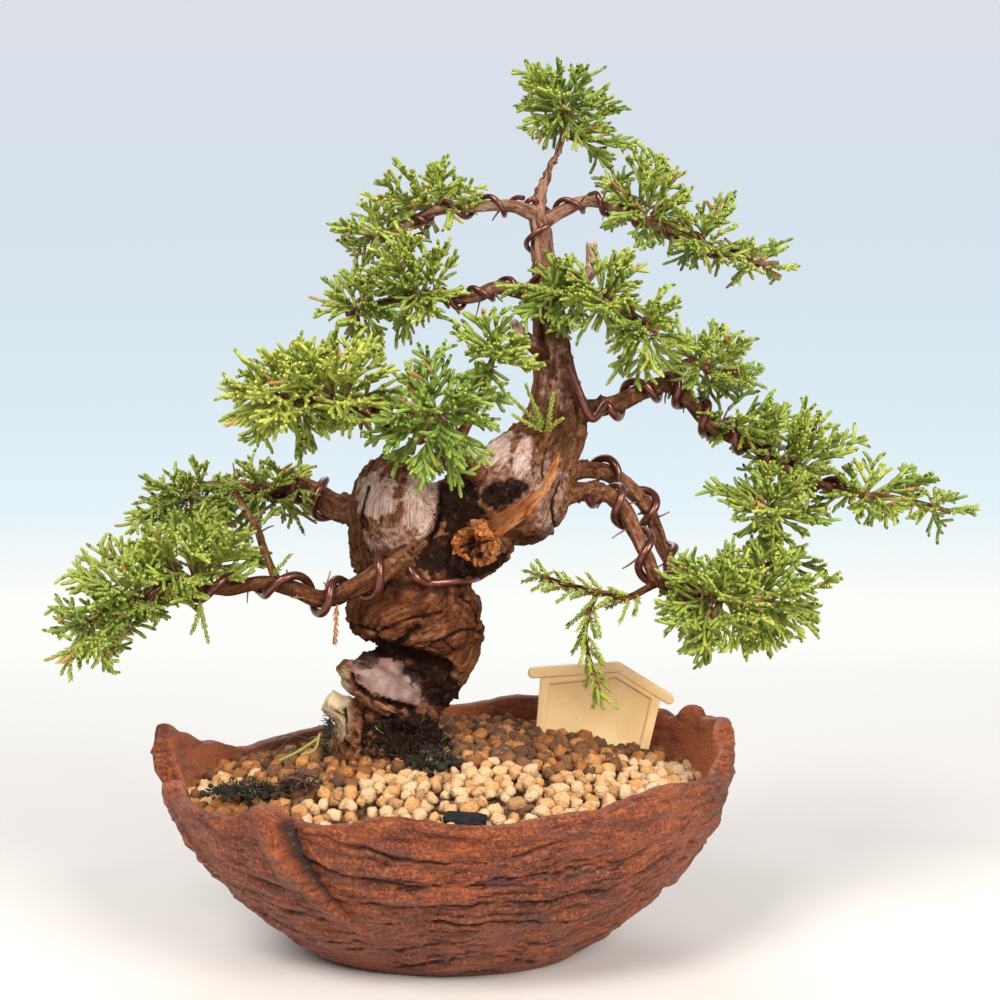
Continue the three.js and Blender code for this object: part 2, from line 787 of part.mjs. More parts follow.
// One sloping roof bar with round ends, from the eaves on one side to the peak.
function roofBar(side) {
  const [peakX, peakY] = LABEL_PEAK;
  const eaves = new THREE.Vector2(
    side * (LABEL_EAVES_HALF_WIDTH + LABEL_ROOF_OVERHANG),
    LABEL_EAVES_HEIGHT - LABEL_ROOF_DROP,
  );
  const run = new THREE.Vector2(peakX, peakY).sub(eaves);
  const half = LABEL_ROOF_THICKNESS / 2;
  const bar = new THREE.Shape();
  bar.absarc(0, 0, half, Math.PI / 2, 1.5 * Math.PI);
  bar.absarc(run.length(), 0, half, -Math.PI / 2, Math.PI / 2);
  return new THREE.ExtrudeGeometry(bar, {
    depth: LABEL_ROOF_DEPTH,
    bevelEnabled: false,
    curveSegments: LABEL_ROOF_END_SEGMENTS,
  })
    .rotateZ(run.angle())
    .translate(eaves.x, eaves.y, -(LABEL_ROOF_DEPTH - LABEL_THICKNESS) / 2);
}

function placeLabel(geometry) {
  return geometry
    .rotateZ(-LABEL_LEAN)
    .rotateX(Math.PI / 2)
    .translate(...LABEL_PLACE);
}

function label() {
  const plate = labelSlab(labelOutline(0, -LABEL_IN_SOIL), LABEL_THICKNESS);
  const recess = labelSlab(labelOutline(LABEL_BORDER, 0), 2 * LABEL_RECESS);
  recess.translate(0, 0, LABEL_THICKNESS - LABEL_RECESS);
  const bars = [-1, 1].map((side) => toSolid(placeLabel(roofBar(side))));
  return join([toSolid(placeLabel(plate)), ...bars]).subtract(toSolid(placeLabel(recess)));
}

function labelPocket() {
  const wide = labelSlab(labelOutline(-GAP, -LABEL_IN_SOIL - GAP), LABEL_THICKNESS + 2 * GAP);
  return toSolid(placeLabel(wide.translate(0, 0, -GAP)));
}

// ---------------------------------------------------------------- assembly

const bonsai = new THREE.Group();

function addPiece(name, solid, color, roughness, metalness = 0) {
  const material = new THREE.MeshStandardMaterial({ color, roughness, metalness });
  const mesh = new THREE.Mesh(toGeometry(solid), material);
  mesh.name = name;
  bonsai.add(mesh);
}

const CLAY = 0x8a4630;
const PLASTIC_MESH = 0x2b2d2c;
const EARTH = 0x6b5139;
const PALE_GRIT = 0xc9ab7c;
const BROWN_GRIT = 0x9c6a3c;
const BARK = 0x7a5a48;
const WIRE_BROWN = 0x6b3428;
const LEAF = 0x6f8f3a;
const MOSS = 0x23241a;
const CHARCOAL = 0x1b1b1c;
const LABEL_CREAM = 0xe9cf94;

const bowl = pot();
addPiece("pot", bowl.subtract(plateBlock(GAP)), CLAY, 0.55);
addPiece("pot_foot_plate", footPlate(bowl), CLAY, 0.55);
addPiece("drain_mesh_left", drainMesh(-1), PLASTIC_MESH, 0.6);
addPiece("drain_mesh_right", drainMesh(1), PLASTIC_MESH, 0.6);

const wires = Object.keys(WIRES);
const wireRoom = wires.map((name) => wire(name, GAP));
const wood = biggestBody(cutBy(wholeWood(), wireRoom));
addPiece("trunk_and_branches", wood, BARK, 0.85);
wires.forEach((name) => addPiece("wire_" + name, wire(name), WIRE_BROWN, 0.3, 0.9));

const woodRoom = wholeWood(GAP);
const looseLayer = cutBy(topLayer(), [woodRoom, labelPocket()]);
const soil = biggestBody(cutBy(soilBed(), [woodRoom, labelPocket(), topLayer(-GAP)]));
const paleGrit = biggestBody(looseLayer.intersect(paleSide(0)));
const brownGrit = biggestBody(looseLayer.subtract(paleSide(GAP)));
addPiece("soil_bed", soil, EARTH, 0.95);
addPiece("pale_grit", paleGrit, PALE_GRIT, 0.9);
addPiece("brown_grit", brownGrit, BROWN_GRIT, 0.9);
addPiece("plant_label", label(), LABEL_CREAM, 0.45);

const groundRoom = topLayer(GAP);
Object.entries(MOSS_BULGES).forEach(([name, shape]) => {
  const tuft = cutBy(toSolid(bulge(shape)), [groundRoom, woodRoom]);
  addPiece(name, biggestBody(tuft), MOSS, 0.95);
});
const chip = new THREE.BoxGeometry(...CHIP_SIZE).rotateZ(CHIP_TILT).translate(...CHIP_PLACE);
addPiece("charcoal_chip", biggestBody(toSolid(chip).subtract(groundRoom)), CHARCOAL, 0.8);

let taken = limbRoom();
Object.keys(PAD_BULGES).forEach((name) => {
  addPiece("foliage_" + name, biggestBody(pad(name).subtract(taken)), LEAF, 0.7);
  taken = taken.add(pad(name, GAP));
});

export default bonsai;
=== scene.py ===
# %% [markdown]
# # A wired juniper in a hand-shaped pot
# The tree is a small, very old-looking juniper. It stands in a low oval pot that was pinched and
# carved by hand, on a mound of loose grit, and copper-brown wire holds its limbs where the grower
# bent them. The plain solids that carry the collisions are loaded first, because every finished
# piece goes where its solid is. Everything below is modelled in millimetres and made metres at
# the very end, so that the numbers can be compared with a ruler.

# %% Load the plain solids
import math
import random

import bmesh
import bpy
from mathutils import Matrix, Vector, noise


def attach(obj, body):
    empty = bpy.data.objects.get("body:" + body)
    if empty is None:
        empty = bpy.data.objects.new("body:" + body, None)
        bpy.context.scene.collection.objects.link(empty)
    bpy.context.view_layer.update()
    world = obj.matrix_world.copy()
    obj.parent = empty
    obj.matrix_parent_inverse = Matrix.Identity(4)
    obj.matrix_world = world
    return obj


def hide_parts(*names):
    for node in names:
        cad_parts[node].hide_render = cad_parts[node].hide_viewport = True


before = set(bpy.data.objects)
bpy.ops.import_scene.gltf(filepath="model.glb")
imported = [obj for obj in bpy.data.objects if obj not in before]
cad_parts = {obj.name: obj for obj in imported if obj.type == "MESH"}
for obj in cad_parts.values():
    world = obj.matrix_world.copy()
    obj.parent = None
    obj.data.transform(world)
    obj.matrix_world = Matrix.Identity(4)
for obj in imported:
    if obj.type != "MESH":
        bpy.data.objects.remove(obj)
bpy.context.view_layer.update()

# %% [markdown]
# ## Camera
# The picture was taken almost level with the middle of the trunk, from less than half a metre.
# A camera this close makes the front of the pot clearly larger than its back, so the distance
# matters more than the lens. The floor and the rise of the backdrop are one sheet, bent up far
# behind the pot, because a hard horizon at the height of the trunk would cut the view in two.

# %% Camera
MILLIMETRE = 0.001
CAMERA_PLACE = (0.017, -0.462, 0.152)
CAMERA_TILT = math.radians(89.5)


def add_object(name, data):
    made = bpy.data.objects.new(name, data)
    bpy.context.scene.collection.objects.link(made)
    return made


camera_data = bpy.data.cameras.new("studio_camera")
camera_data.lens = 50.4
camera_data.sensor_width = 36
camera_data.clip_start = 0.01
camera = add_object("studio_camera", camera_data)
camera.location = CAMERA_PLACE
camera.rotation_euler = (CAMERA_TILT, 0, 0)
bpy.context.scene.camera = camera
bpy.context.scene.view_settings.view_transform = "Standard"
print("camera", tuple(camera.location), "lens", camera_data.lens)

# %% [markdown]
# ## Writing a finish
# A finish is a small sum: two colours mixed by a mask, a mask made from noise, a height for the
# light to catch. Written as nodes it is long, so one class wraps a socket and turns Python's own
# operators into Math nodes. Another holds the material and makes every other node in one way.


# %% A value in a finish
class Value:
    """A number, colour or vector that comes out of a node."""

    def __init__(self, finish, socket):
        self.finish = finish
        self.socket = socket

    def math(self, operation, other, swapped=False):
        pair = (other, self) if swapped else (self, other)
        sockets = {0: pair[0], 1: pair[1]}
        return self.finish.node("Math", {"operation": operation}, sockets)

    def __add__(self, other):
        return self.math("ADD", other)

    def __sub__(self, other):
        return self.math("SUBTRACT", other)

    def __rsub__(self, other):
        return self.math("SUBTRACT", other, swapped=True)

    def __mul__(self, other):
        return self.math("MULTIPLY", other)

    __radd__ = __add__
    __rmul__ = __mul__


# %% A finish
class Finish:
    """A material in the making. Its patterns are measured in millimetres."""

    def __init__(self, name, constants=None):
        self.material = bpy.data.materials.new(name)
        self.material.use_nodes = True
        self.tree = self.material.node_tree
        self.shader = self.tree.nodes["Principled BSDF"]
        for socket, value in (constants or {}).items():
            self.shader.inputs[socket].default_value = value
        where = self.node("TexCoord", output="Object")
        scale = {"Vector": where, "Scale": 1 / MILLIMETRE}
        self.place = self.node("VectorMath", {"operation": "SCALE"}, scale)

    def node(self, kind, settings=None, sockets=None, output=0):
        made = self.tree.nodes.new("ShaderNode" + kind)
        for name, value in (settings or {}).items():
            if name == "stops":
                set_stops(made.color_ramp, value)
            else:
                setattr(made, name, value)
        for name, value in (sockets or {}).items():
            self.feed(made.inputs[name], value)
        return Value(self, made.outputs[output])

    def feed(self, socket, value):
        if isinstance(value, Value):
            self.tree.links.new(value.socket, socket)
        else:
            socket.default_value = value

    def noise(self, scale, detail=4, where=None, roughness=0.55):
        sockets = {"Vector": where or self.place, "Scale": scale}
        return self.node("TexNoise", {}, sockets | {"Detail": detail, "Roughness": roughness})

    def stretched(self, along_x, along_y, along_z):
        """The place, scaled on each axis: a pattern is drawn out where the number is small."""
        sockets = {0: self.place, 1: (along_x, along_y, along_z)}
        return self.node("VectorMath", {"operation": "MULTIPLY"}, sockets)

    def attribute(self, name, output="Fac"):
        return self.node("Attribute", {"attribute_name": name}, output=output)

    def between(self, value, low, high):
        """A mask that rises from nothing at low to one at high."""
        sockets = {"Value": value, "From Min": low, "From Max": high}
        return self.node("MapRange", {"interpolation_type": "SMOOTHSTEP"}, sockets)

    def mix(self, share, first, second, blend="MIX"):
        settings = {"data_type": "RGBA", "blend_type": blend}
        return self.node("Mix", settings, {0: share, 6: first, 7: second}, output=2)

    def ramp(self, value, stops):
        return self.node("ValToRGB", {"stops": stops}, {"Fac": value})

    def lay(self, color, roughness=None, height=None, depth=0.3):
        """Sends the colour, the roughness and a height, up to depth millimetres, to the shader."""
        self.feed(self.shader.inputs["Base Color"], color)
        if roughness is not None:
            self.feed(self.shader.inputs["Roughness"], roughness)
        if height is not None:
            sockets = {"Height": height, "Distance": depth * MILLIMETRE}
            normal = self.node("Bump", {}, sockets, output="Normal")
            self.feed(self.shader.inputs["Normal"], normal)
        return self.material


def set_stops(color_ramp, stops):
    while len(color_ramp.elements) < len(stops):
        color_ramp.elements.new(1)
    for element, (position, color) in zip(color_ramp.elements, stops):
        element.position = position
        element.color = (*color, 1)


def shade(red, green, blue):
    return (red, green, blue, 1)


# %% [markdown]
# ## Handing a piece over
# A finished piece is one mesh in one object at the origin. It rides on the only body and stands
# for the solids that it replaces.


# %% Hand a piece over
def coat(mesh, material):
    mesh.materials.clear()
    mesh.materials.append(material)


def hand_over(name, mesh, material, slot, *stands_for):
    mesh.transform(Matrix.Scale(MILLIMETRE, 4))
    mesh.polygons.foreach_set("use_smooth", [True] * len(mesh.polygons))
    coat(mesh, material)
    piece = add_object(name, mesh)
    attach(piece, "root")
    if stands_for:
        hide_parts(*stands_for)
    triangles = sum(len(face.vertices) - 2 for face in mesh.polygons)
    print(name, triangles, "triangles")


# %% From the workbench to a mesh
def to_mesh(bm, name):
    mesh = bpy.data.meshes.new(name)
    bm.to_mesh(mesh)
    bm.free()
    return mesh


def mesh_of(data, kind=None, **settings):
    """The mesh of a mesh or a curve, as it comes out of a modifier if a kind is given."""
    holder = add_object("holder", data)
    if kind:
        modifier = holder.modifiers.new("shape", kind)
        for name, value in settings.items():
            setattr(modifier, name, value)
    evaluated = holder.evaluated_get(bpy.context.evaluated_depsgraph_get())
    shaped = bpy.data.meshes.new_from_object(evaluated)
    bpy.data.objects.remove(holder)
    return shaped


def only(kind, parts):
    """The parts of one kind out of what an operator hands back."""
    return [part for part in parts if isinstance(part, kind)]


# %% Small sums
def smooth_step(value, low, high):
    share = min(max((value - low) / (high - low), 0), 1)
    return share * share * (3 - 2 * share)


def blend(first, second, share):
    return first + (second - first) * share


def hill(value, middle, width):
    """One at the middle, falling off to nothing on both sides."""
    return math.exp(-(((value - middle) / width) ** 2))


def degrees_of(angle):
    return math.degrees(angle) % 360


print("a hill one width from its middle", round(hill(1, 0, 1), 3))


# %% [markdown]
# ## Floor, backdrop and light
# The studio is one pale sheet, warm white under the pot. Behind it the sheet takes on a glow of
# its own, full a metre back, almost white low down and a cool light blue above, so no lamp has to
# light it. Two broad lamps stand in front, high at the left and lower at the right, and a weak
# one behind picks out the edges. The pale surroundings do the rest.

# %% Floor and backdrop
# All in metres. The floor lies a little below the foot, so that the two don't share a plane.
FLOOR_HALF_SIZE = 4
FLOOR_DROP = 0.0002
SWEEP_FROM = 1.5
SWEEP_RADIUS = 1.2
SWEEP_STEPS = 80
# In millimetres, as every pattern.
GLOW_FULL_AT = 1000
SKY_HEIGHT = 1400


def sweep_point(distance):
    """Where a distance along the sheet lies, as (y, z): level, then bent up, then straight up."""
    arc = SWEEP_RADIUS * math.pi / 2
    turned = min(max(distance - SWEEP_FROM, 0), arc) / SWEEP_RADIUS
    level = min(distance, SWEEP_FROM)
    rise = max(distance - SWEEP_FROM - arc, 0)
    y = level + SWEEP_RADIUS * math.sin(turned)
    return y, SWEEP_RADIUS * (1 - math.cos(turned)) + rise


bm = bmesh.new()
bmesh.ops.create_grid(bm, x_segments=2, y_segments=SWEEP_STEPS, size=1)
for vert in bm.verts:
    y, z = sweep_point(vert.co.y * FLOOR_HALF_SIZE)
    vert.co = (vert.co.x * FLOOR_HALF_SIZE, y, z - FLOOR_DROP)
bmesh.ops.recalc_face_normals(bm, faces=bm.faces)
floor_mesh = to_mesh(bm, "studio_floor")
studio = Finish("studio_sheet", {"Roughness": 0.9, "Specular IOR Level": 0.1, "Emission Strength": 1})
height_of = studio.node("SeparateXYZ", {}, {0: studio.place}, output="Z")
distance_back = studio.node("SeparateXYZ", {}, {0: studio.place}, output="Y")
far_off = studio.between(distance_back, 0, GLOW_FULL_AT)
sheet_color = studio.mix(far_off, shade(0.68, 0.65, 0.62), shade(0.05, 0.05, 0.05))
sky_share = studio.node("MapRange", {}, {"Value": height_of, "From Max": SKY_HEIGHT})
sky = studio.ramp(sky_share, [
    (0.0, (0.90, 0.92, 0.88)),
    (0.08, (0.74, 0.85, 0.91)),
    (0.22, (0.68, 0.79, 0.86)),
    (0.38, (0.64, 0.74, 0.815)),
    (0.64, (0.64, 0.71, 0.785)),
    (0.86, (0.67, 0.70, 0.77)),
])
glow = studio.mix(far_off, shade(0, 0, 0), sky)
studio.feed(studio.shader.inputs["Emission Color"], glow)
floor_mesh.materials.append(studio.lay(sheet_color))
floor = add_object("studio_floor", floor_mesh)
print("sheet faces", len(floor_mesh.polygons))


# %% Lamps
LAMPS_AIM_AT = Vector((0.01, 0, 0.13))


def lamp(name, place, size, power, color):
    data = bpy.data.lights.new(name, "AREA")
    data.size = size
    data.energy = power
    data.color = color
    made = add_object(name, data)
    made.location = place
    aim = LAMPS_AIM_AT - Vector(place)
    made.rotation_euler = aim.to_track_quat("-Z", "Y").to_euler()


lamp("window_light", (-0.6, -1.1, 1.2), 0.6, 28, (1, 0.97, 0.93))
lamp("fill_light", (0.9, -1.1, 0.8), 0.7, 28, (1, 0.96, 0.91))
lamp("back_light", (-0.3, 1.2, 1.2), 1.0, 9, (0.96, 0.97, 1))
world = bpy.data.worlds.new("studio_air")
world.use_nodes = True
surroundings = world.node_tree.nodes["Background"].inputs
surroundings["Color"].default_value = shade(0.95, 0.96, 1)
surroundings["Strength"].default_value = 0.42
bpy.context.scene.world = world
print("lamps", len(bpy.data.lights))

# %% [markdown]
# ## The pot's form
# The pot was pinched from slabs: an oval bowl whose rim rises to thick torn tips at both ends and
# dips along the front, and whose left end laps over the front wall in one rounded fold. A grid is
# rolled up into that bowl: one way runs round the pot, the other from the middle of the foot up
# the outside, over the rim and down the inside.

# %% The bowl
POT_HALF_WIDTH = 94
POT_FRONT_REACH = 76
POT_BACK_REACH = 66
FOOT_HALF_WIDTH = 42
FOOT_HALF_DEPTH = 28
POT_FULL_HEIGHT = 75
POT_BELLY = 2.3
POT_WALL = 6
POT_FLOOR = 8
RIM_STATIONS = [
    (0, 75), (13, 74.5), (22, 77), (28, 72.5), (40, 73), (74, 74.5), (89, 70.5), (120, 64),
    (146, 60), (160, 64), (172, 69.5), (180, 74), (184, 66), (187, 52.5), (191, 58), (198, 55.5),
    (210, 54), (225, 54.5), (236, 60.5), (243, 56), (247, 55.5), (261, 59.5), (277, 57),
    (299, 59.5), (316, 64), (340, 62), (352, 69), (360, 75),
]


def rim_height(angle):
    degrees = degrees_of(angle)
    index = next(i for i in range(1, len(RIM_STATIONS)) if RIM_STATIONS[i][0] >= degrees)
    (start, low), (end, high) = RIM_STATIONS[index - 1], RIM_STATIONS[index]
    return blend(low, high, smooth_step(degrees, start, end))


def bowl_point(angle, height, inset=0):
    full_reach = POT_FRONT_REACH if math.sin(angle) < 0 else POT_BACK_REACH
    swell = 1 - max(1 - height / POT_FULL_HEIGHT, 0) ** POT_BELLY
    reach_x = blend(FOOT_HALF_WIDTH, POT_HALF_WIDTH, swell) - inset
    reach_y = blend(FOOT_HALF_DEPTH, full_reach, swell) - inset
    return Vector((reach_x * math.cos(angle), reach_y * math.sin(angle), height))


print("bowl at the rim's right end", tuple(bowl_point(0, 75)))

# %% [markdown]
# ## Layers, cracks and the fold
# The maker beat and tore the clay until the wall looks like weathered rock. Its layers lie level
# along the front and climb towards both ends. The lower edge of each stands a little proud of the
# layer below, over a dark broken crack. The fold at the front left stands proud of a crease, and
# the tip at the left end leans out. All of this moves the wall in and out, so it is real relief,
# and the depth of each crack is kept for the finish.

# %% The wall's relief
# Creases are given as stations of (height, degrees round the pot).
LAYER_PITCH = 8
CREASE = [(0, 254), (22, 250), (30, 247), (38, 244.5), (46, 242.5), (55, 241), (80, 239)]
CREASE_MIDDLE = 245
FOLD_PROUD = 6
FOLD_WIDTH = 4.2  # degrees
SECOND_FOLD = [(30, 214), (44, 203), (52, 194), (56, 187), (80, 183)]
SECOND_FOLD_PROUD = 1.8
LAYER_PROUD = 1.5
CRACK_DEPTH = 1.7
FINE_CRACK_DEPTH = 0.9
TIP_LEAN = 3.5


def wobble(x, y, z=0.0):
    return noise.noise(Vector((x, y, z)))


def ring_wobble(angle, pace, z):
    """Noise that comes back to where it began after a full turn. A high pace gives small waves."""
    return wobble(math.cos(angle) * pace, math.sin(angle) * pace, z)


def degrees_at(stations, height):
    """The direction of a line on the wall that is given by stations of (height, degrees)."""
    for (low, first), (high, second) in zip(stations, stations[1:]):
        if height <= high:
            return blend(first, second, max(height - low, 0) / (high - low))
    return stations[-1][1]


def fold_relief(degrees, height):
    """The folds' height, and how deep in a crease a place is."""
    beside = degrees - degrees_at(CREASE, height)
    strength = smooth_step(height, 14, 46)
    crease = strength * hill(beside, 0.3, 0.55)
    if beside <= 0:
        roll = 1 - (1 - min(-beside / 1.6, 1)) ** 2.5
        relief = FOLD_PROUD * strength * roll * hill(max(-beside - 1.6, 0), 0, FOLD_WIDTH)
    else:
        relief = -3.4 * strength * math.exp(-beside / 6)
    over = degrees - degrees_at(SECOND_FOLD, height)
    reach = smooth_step(height, 30, 42) * (1 - smooth_step(abs(degrees - 203), 16, 24))
    relief += SECOND_FOLD_PROUD * reach * hill(over, -1.5, 3.5)
    return relief, max(crease, 0.5 * reach * hill(over, 2.2, 1.2))


# %% Layers
def layer_relief(angle, height):
    """The layers' height, and how deep in a crack between two of them a place is."""
    ends = abs(math.cos(angle))
    turn_x, turn_y = math.cos(angle) * 2.2, math.sin(angle) * 2.2
    level = height * (1 - 0.38 * ends**2.2)
    level += 5.5 * wobble(turn_x * 0.9, turn_y * 0.9, level * 0.03)
    level += 1.7 * wobble(turn_x * 3.2, turn_y * 3.2, level * 0.1)
    level += 0.9 * wobble(turn_x * 11, turn_y * 11, level * 0.25)
    layer, phase = divmod(level / LAYER_PITCH, 1)
    strength = smooth_step(wobble(turn_x * 1.9, turn_y * 1.9, layer * 5.3), -0.28, 0.25)
    crack = strength * hill(min(phase, 1 - phase), 0, 0.085)
    proud = LAYER_PROUD * strength * (1 - phase) ** 1.3 * smooth_step(phase, 0, 0.12)
    fine_level = level * 2.3 + 3 * wobble(turn_x * 4, turn_y * 4, 7)
    fine_layer, fine_phase = divmod(fine_level / LAYER_PITCH, 1)
    fine_strength = smooth_step(wobble(turn_x * 3.5, turn_y * 3.5, fine_layer * 3.1), 0.05, 0.4)
    fine = fine_strength * hill(min(fine_phase, 1 - fine_phase), 0, 0.2)
    return proud - CRACK_DEPTH * crack - FINE_CRACK_DEPTH * fine, max(crack, 0.8 * fine)


def tip_flare(angle, height):
    """How far the torn tip at the left end leans outwards."""
    return TIP_LEAN * hill(degrees_of(angle), 180, 9) * smooth_step(height, 50, 74)


def wall_relief(angle, height, rim):
    fold, crease = fold_relief(degrees_of(angle), height)
    fold += tip_flare(angle, height)
    layers, crack = layer_relief(angle, height)
    calm = blend(smooth_step(rim - height, 0, 3), smooth_step(rim - height, 2, 16), 0.6)
    calm *= smooth_step(height, 0, 4) * (1 - 0.35 * abs(math.cos(angle)) ** 3)
    calm *= 1 - 0.6 * smooth_step(fold, 1, 4)
    turn_x, turn_y = math.cos(angle) * 9, math.sin(angle) * 9
    lumps = 1.6 * wobble(turn_x * 0.4, turn_y * 0.4, height * 0.05)
    torn = 1.4 * wobble(turn_x * 0.7, turn_y * 0.7, height * 0.22)
    grain = 0.8 * wobble(turn_x * 1.9, turn_y * 1.9, height * 0.45)
    grain += 0.4 * wobble(turn_x * 5, turn_y * 5, height * 1.2)
    relief = fold + layers * calm + (lumps + torn + grain) * smooth_step(height, 0, 6)
    return relief, max(crease, crack * calm)


print("layers up the front wall", round(rim_height(1.5 * math.pi) / LAYER_PITCH))

# %% The rim and the inside
POT_TURNS = 560
FOOT_ROWS = 4
OUTER_ROWS = 96
RIM_ROWS = 8
INNER_ROWS = 26
FLOOR_ROWS = 3
RIM_ROUNDING = 1.5
RIM_CROWN = 1.7


def torn_rim(angle):
    """The rim's height with its small waves and the notches of the torn ends."""
    degrees = degrees_of(angle)
    waves = 0.7 * ring_wobble(angle, 7, 3) + 0.35 * ring_wobble(angle, 22, 9)
    notches = 2.2 * hill(degrees, 16.5, 2.2) + 1.6 * hill(degrees, 31, 2.5)
    return rim_height(angle) + waves - notches


def inner_folds(angle, height, rim):
    """The inside of the right end is pleated from top to bottom."""
    degrees = (math.degrees(angle) + 180) % 360 - 180
    pleated = hill(degrees, 8, 30)
    pleats = math.sin(math.radians(degrees) * 26 + 1.5 * wobble(height * 0.05, 2))
    near_rim = smooth_step(height, rim - 26, rim - 4)
    dents = 0.5 * ring_wobble(angle, 14, height * 0.12)
    return 1.3 * pleated * pleats * near_rim + dents + tip_flare(angle, height)


def along_crease(angle, height):
    """Leans the grid's columns so that near the crease they run beside it, not across it."""
    degrees = math.degrees(angle)
    near = hill(degrees, CREASE_MIDDLE, 14)
    return math.radians(degrees + near * (degrees_at(CREASE, height) - CREASE_MIDDLE))


# %% Places on the shell
def shell_point(angle, row):
    """A place on the shell and how deep in a crack it is. Rows count from the foot's middle."""
    rows_up = min(max((row - FOOT_ROWS) / OUTER_ROWS, 0), 1)
    angle = along_crease(angle, rows_up * torn_rim(angle))
    rim = torn_rim(angle)
    thickness = POT_WALL + 0.7 * ring_wobble(angle, 4, 5)
    if row < FOOT_ROWS:
        return bowl_point(angle, 0) * (row / FOOT_ROWS), 0
    row -= FOOT_ROWS
    top = rim - RIM_ROUNDING
    if row <= OUTER_ROWS:
        height = top * row / OUTER_ROWS
        relief, crack = wall_relief(angle, height, rim)
        return bowl_point(angle, height, -relief), crack
    row -= OUTER_ROWS
    outer, crack = wall_relief(angle, top, rim)
    if row <= RIM_ROWS:
        turn = math.pi * row / RIM_ROWS
        inner = thickness - inner_folds(angle, top, rim)
        inset = blend(-outer, inner, (1 - math.cos(turn)) / 2)
        point = bowl_point(angle, top, inset)
        point.z += RIM_CROWN * math.sin(turn) ** 0.7 if row < RIM_ROWS else 0
        return point, crack * max(math.cos(turn), 0) + min(math.cos(turn), 0)
    row -= RIM_ROWS
    if row <= INNER_ROWS:
        height = blend(top, POT_FLOOR, row / INNER_ROWS)
        return bowl_point(angle, height, thickness - inner_folds(angle, height, rim)), -1
    row -= INNER_ROWS
    floor_edge = bowl_point(angle, POT_FLOOR, thickness)
    point = floor_edge * (1 - row / FLOOR_ROWS)
    point.z = POT_FLOOR
    return point, 0


# %% Roll the grid into a pot
pot_rows = FOOT_ROWS + OUTER_ROWS + RIM_ROWS + INNER_ROWS + FLOOR_ROWS
bm = bmesh.new()
bmesh.ops.create_grid(bm, x_segments=POT_TURNS, y_segments=pot_rows, size=1)
depth_of = bm.verts.layers.float.new("crack")
for vert in bm.verts:
    angle = (vert.co.x + 1) * math.pi
    row = round((vert.co.y + 1) / 2 * pot_rows)
    place, crack = shell_point(angle % (2 * math.pi), row)
    vert.co = place
    vert[depth_of] = crack
bmesh.ops.remove_doubles(bm, verts=bm.verts, dist=0.002)
bmesh.ops.recalc_face_normals(bm, faces=bm.faces)
pot_mesh = to_mesh(bm, "pot_shell")
print("pot faces", len(pot_mesh.polygons))

# %% [markdown]
# ## Drain holes
# Two round holes go through the foot. They are cut after the wall is rolled, because a hole
# through a rolled grid would bend every row round it.

# %% Drain holes
DRAIN_OFFSET = 21
DRAIN_RADIUS = 6.5
DRILL_LENGTH = 3 * POT_FLOOR
bm = bmesh.new()
for side in (-1, 1):
    middle = Matrix.Translation((side * DRAIN_OFFSET, 0, POT_FLOOR / 2))
    bmesh.ops.create_cone(
        bm, cap_ends=True, segments=40, radius1=DRAIN_RADIUS, radius2=DRAIN_RADIUS,
        depth=DRILL_LENGTH, matrix=middle,
    )
drill = add_object("drill", to_mesh(bm, "drill"))
pot_mesh = mesh_of(pot_mesh, "BOOLEAN", operation="DIFFERENCE", solver="EXACT", object=drill)
bpy.data.objects.remove(drill)
print("pot faces with drain holes", len(pot_mesh.polygons))

# %% [markdown]
# ## Fired clay
# The clay is coarse and iron red and was rubbed with oxide: the cracks are blue-black, part oxide
# and part painted shade, the worn places warm orange, and the flats a brown between the two, with
# pale grains of sand and blue-grey patches, part oxide and part painted sheen. The inside is
# painted plainer and brighter, as painted light. It has a low satin gloss. The relief gives the
# large cracks, and a noise that is drawn out round the pot the fine ones.

# %% Clay finish
clay = Finish("fired_clay", {"Specular IOR Level": 0.32})
crack_depth = clay.attribute("crack")
cloud = clay.noise(0.05, 5)
streaks = clay.noise(1, 7, clay.stretched(0.10, 0.10, 0.62), 0.7)
speckle = clay.noise(0.9, 6, roughness=0.7)
sand = clay.noise(2.6, 3)
clay_color = clay.ramp(streaks * 0.3 + cloud * 0.22 + speckle * 0.48, [
    (0.38, (0.040, 0.012, 0.008)),
    (0.45, (0.17, 0.038, 0.014)),
    (0.52, (0.34, 0.080, 0.024)),
    (0.60, (0.52, 0.150, 0.046)),
    (0.70, (0.72, 0.32, 0.15)),
])
orange_worn = clay.between(speckle + streaks * 0.3, 0.66, 0.84)
clay_color = clay.mix(orange_worn * 0.7, clay_color, shade(0.62, 0.175, 0.040))
# Painted light: the inside of the pot is brightened and made plainer.
inside = clay.between(crack_depth, -0.1, -0.9)
clay_color = clay.mix(inside * 0.55, clay_color, shade(0.62, 0.185, 0.075))
# Part oxide, part painted shade: the cracks and the crease are darkened to blue-black.
crack_oxide_and_shade = clay.between(crack_depth + (speckle - 0.5) * 1.4, 0.15, 0.75)
clay_color = clay.mix(crack_oxide_and_shade * 0.9, clay_color, shade(0.022, 0.009, 0.007))
# Part oxide, part painted sheen: blue-grey patches on the clay.
oxide_and_sheen = clay.between(clay.noise(0.22, 6, clay.stretched(0.4, 0.4, 1.3)), 0.53, 0.64)
clay_color = clay.mix(oxide_and_sheen * 0.55, clay_color, shade(0.115, 0.048, 0.045))
pale_dots = clay.between(clay.noise(1.1, 2), 0.70, 0.735)
clay_color = clay.mix(pale_dots * 0.6, clay_color, shade(0.66, 0.48, 0.36))
clay_height = streaks * 0.5 + speckle * 0.9 + sand * 0.4
clay_finish = clay.lay(clay_color, 0.38 + speckle * 0.35, clay_height, 2.2)
clay.shader.inputs["Coat Weight"].default_value = 0.14
clay.shader.inputs["Coat Roughness"].default_value = 0.3
hand_over("pot_shell", pot_mesh, clay_finish, "pot_clay", "pot", "pot_foot_plate")

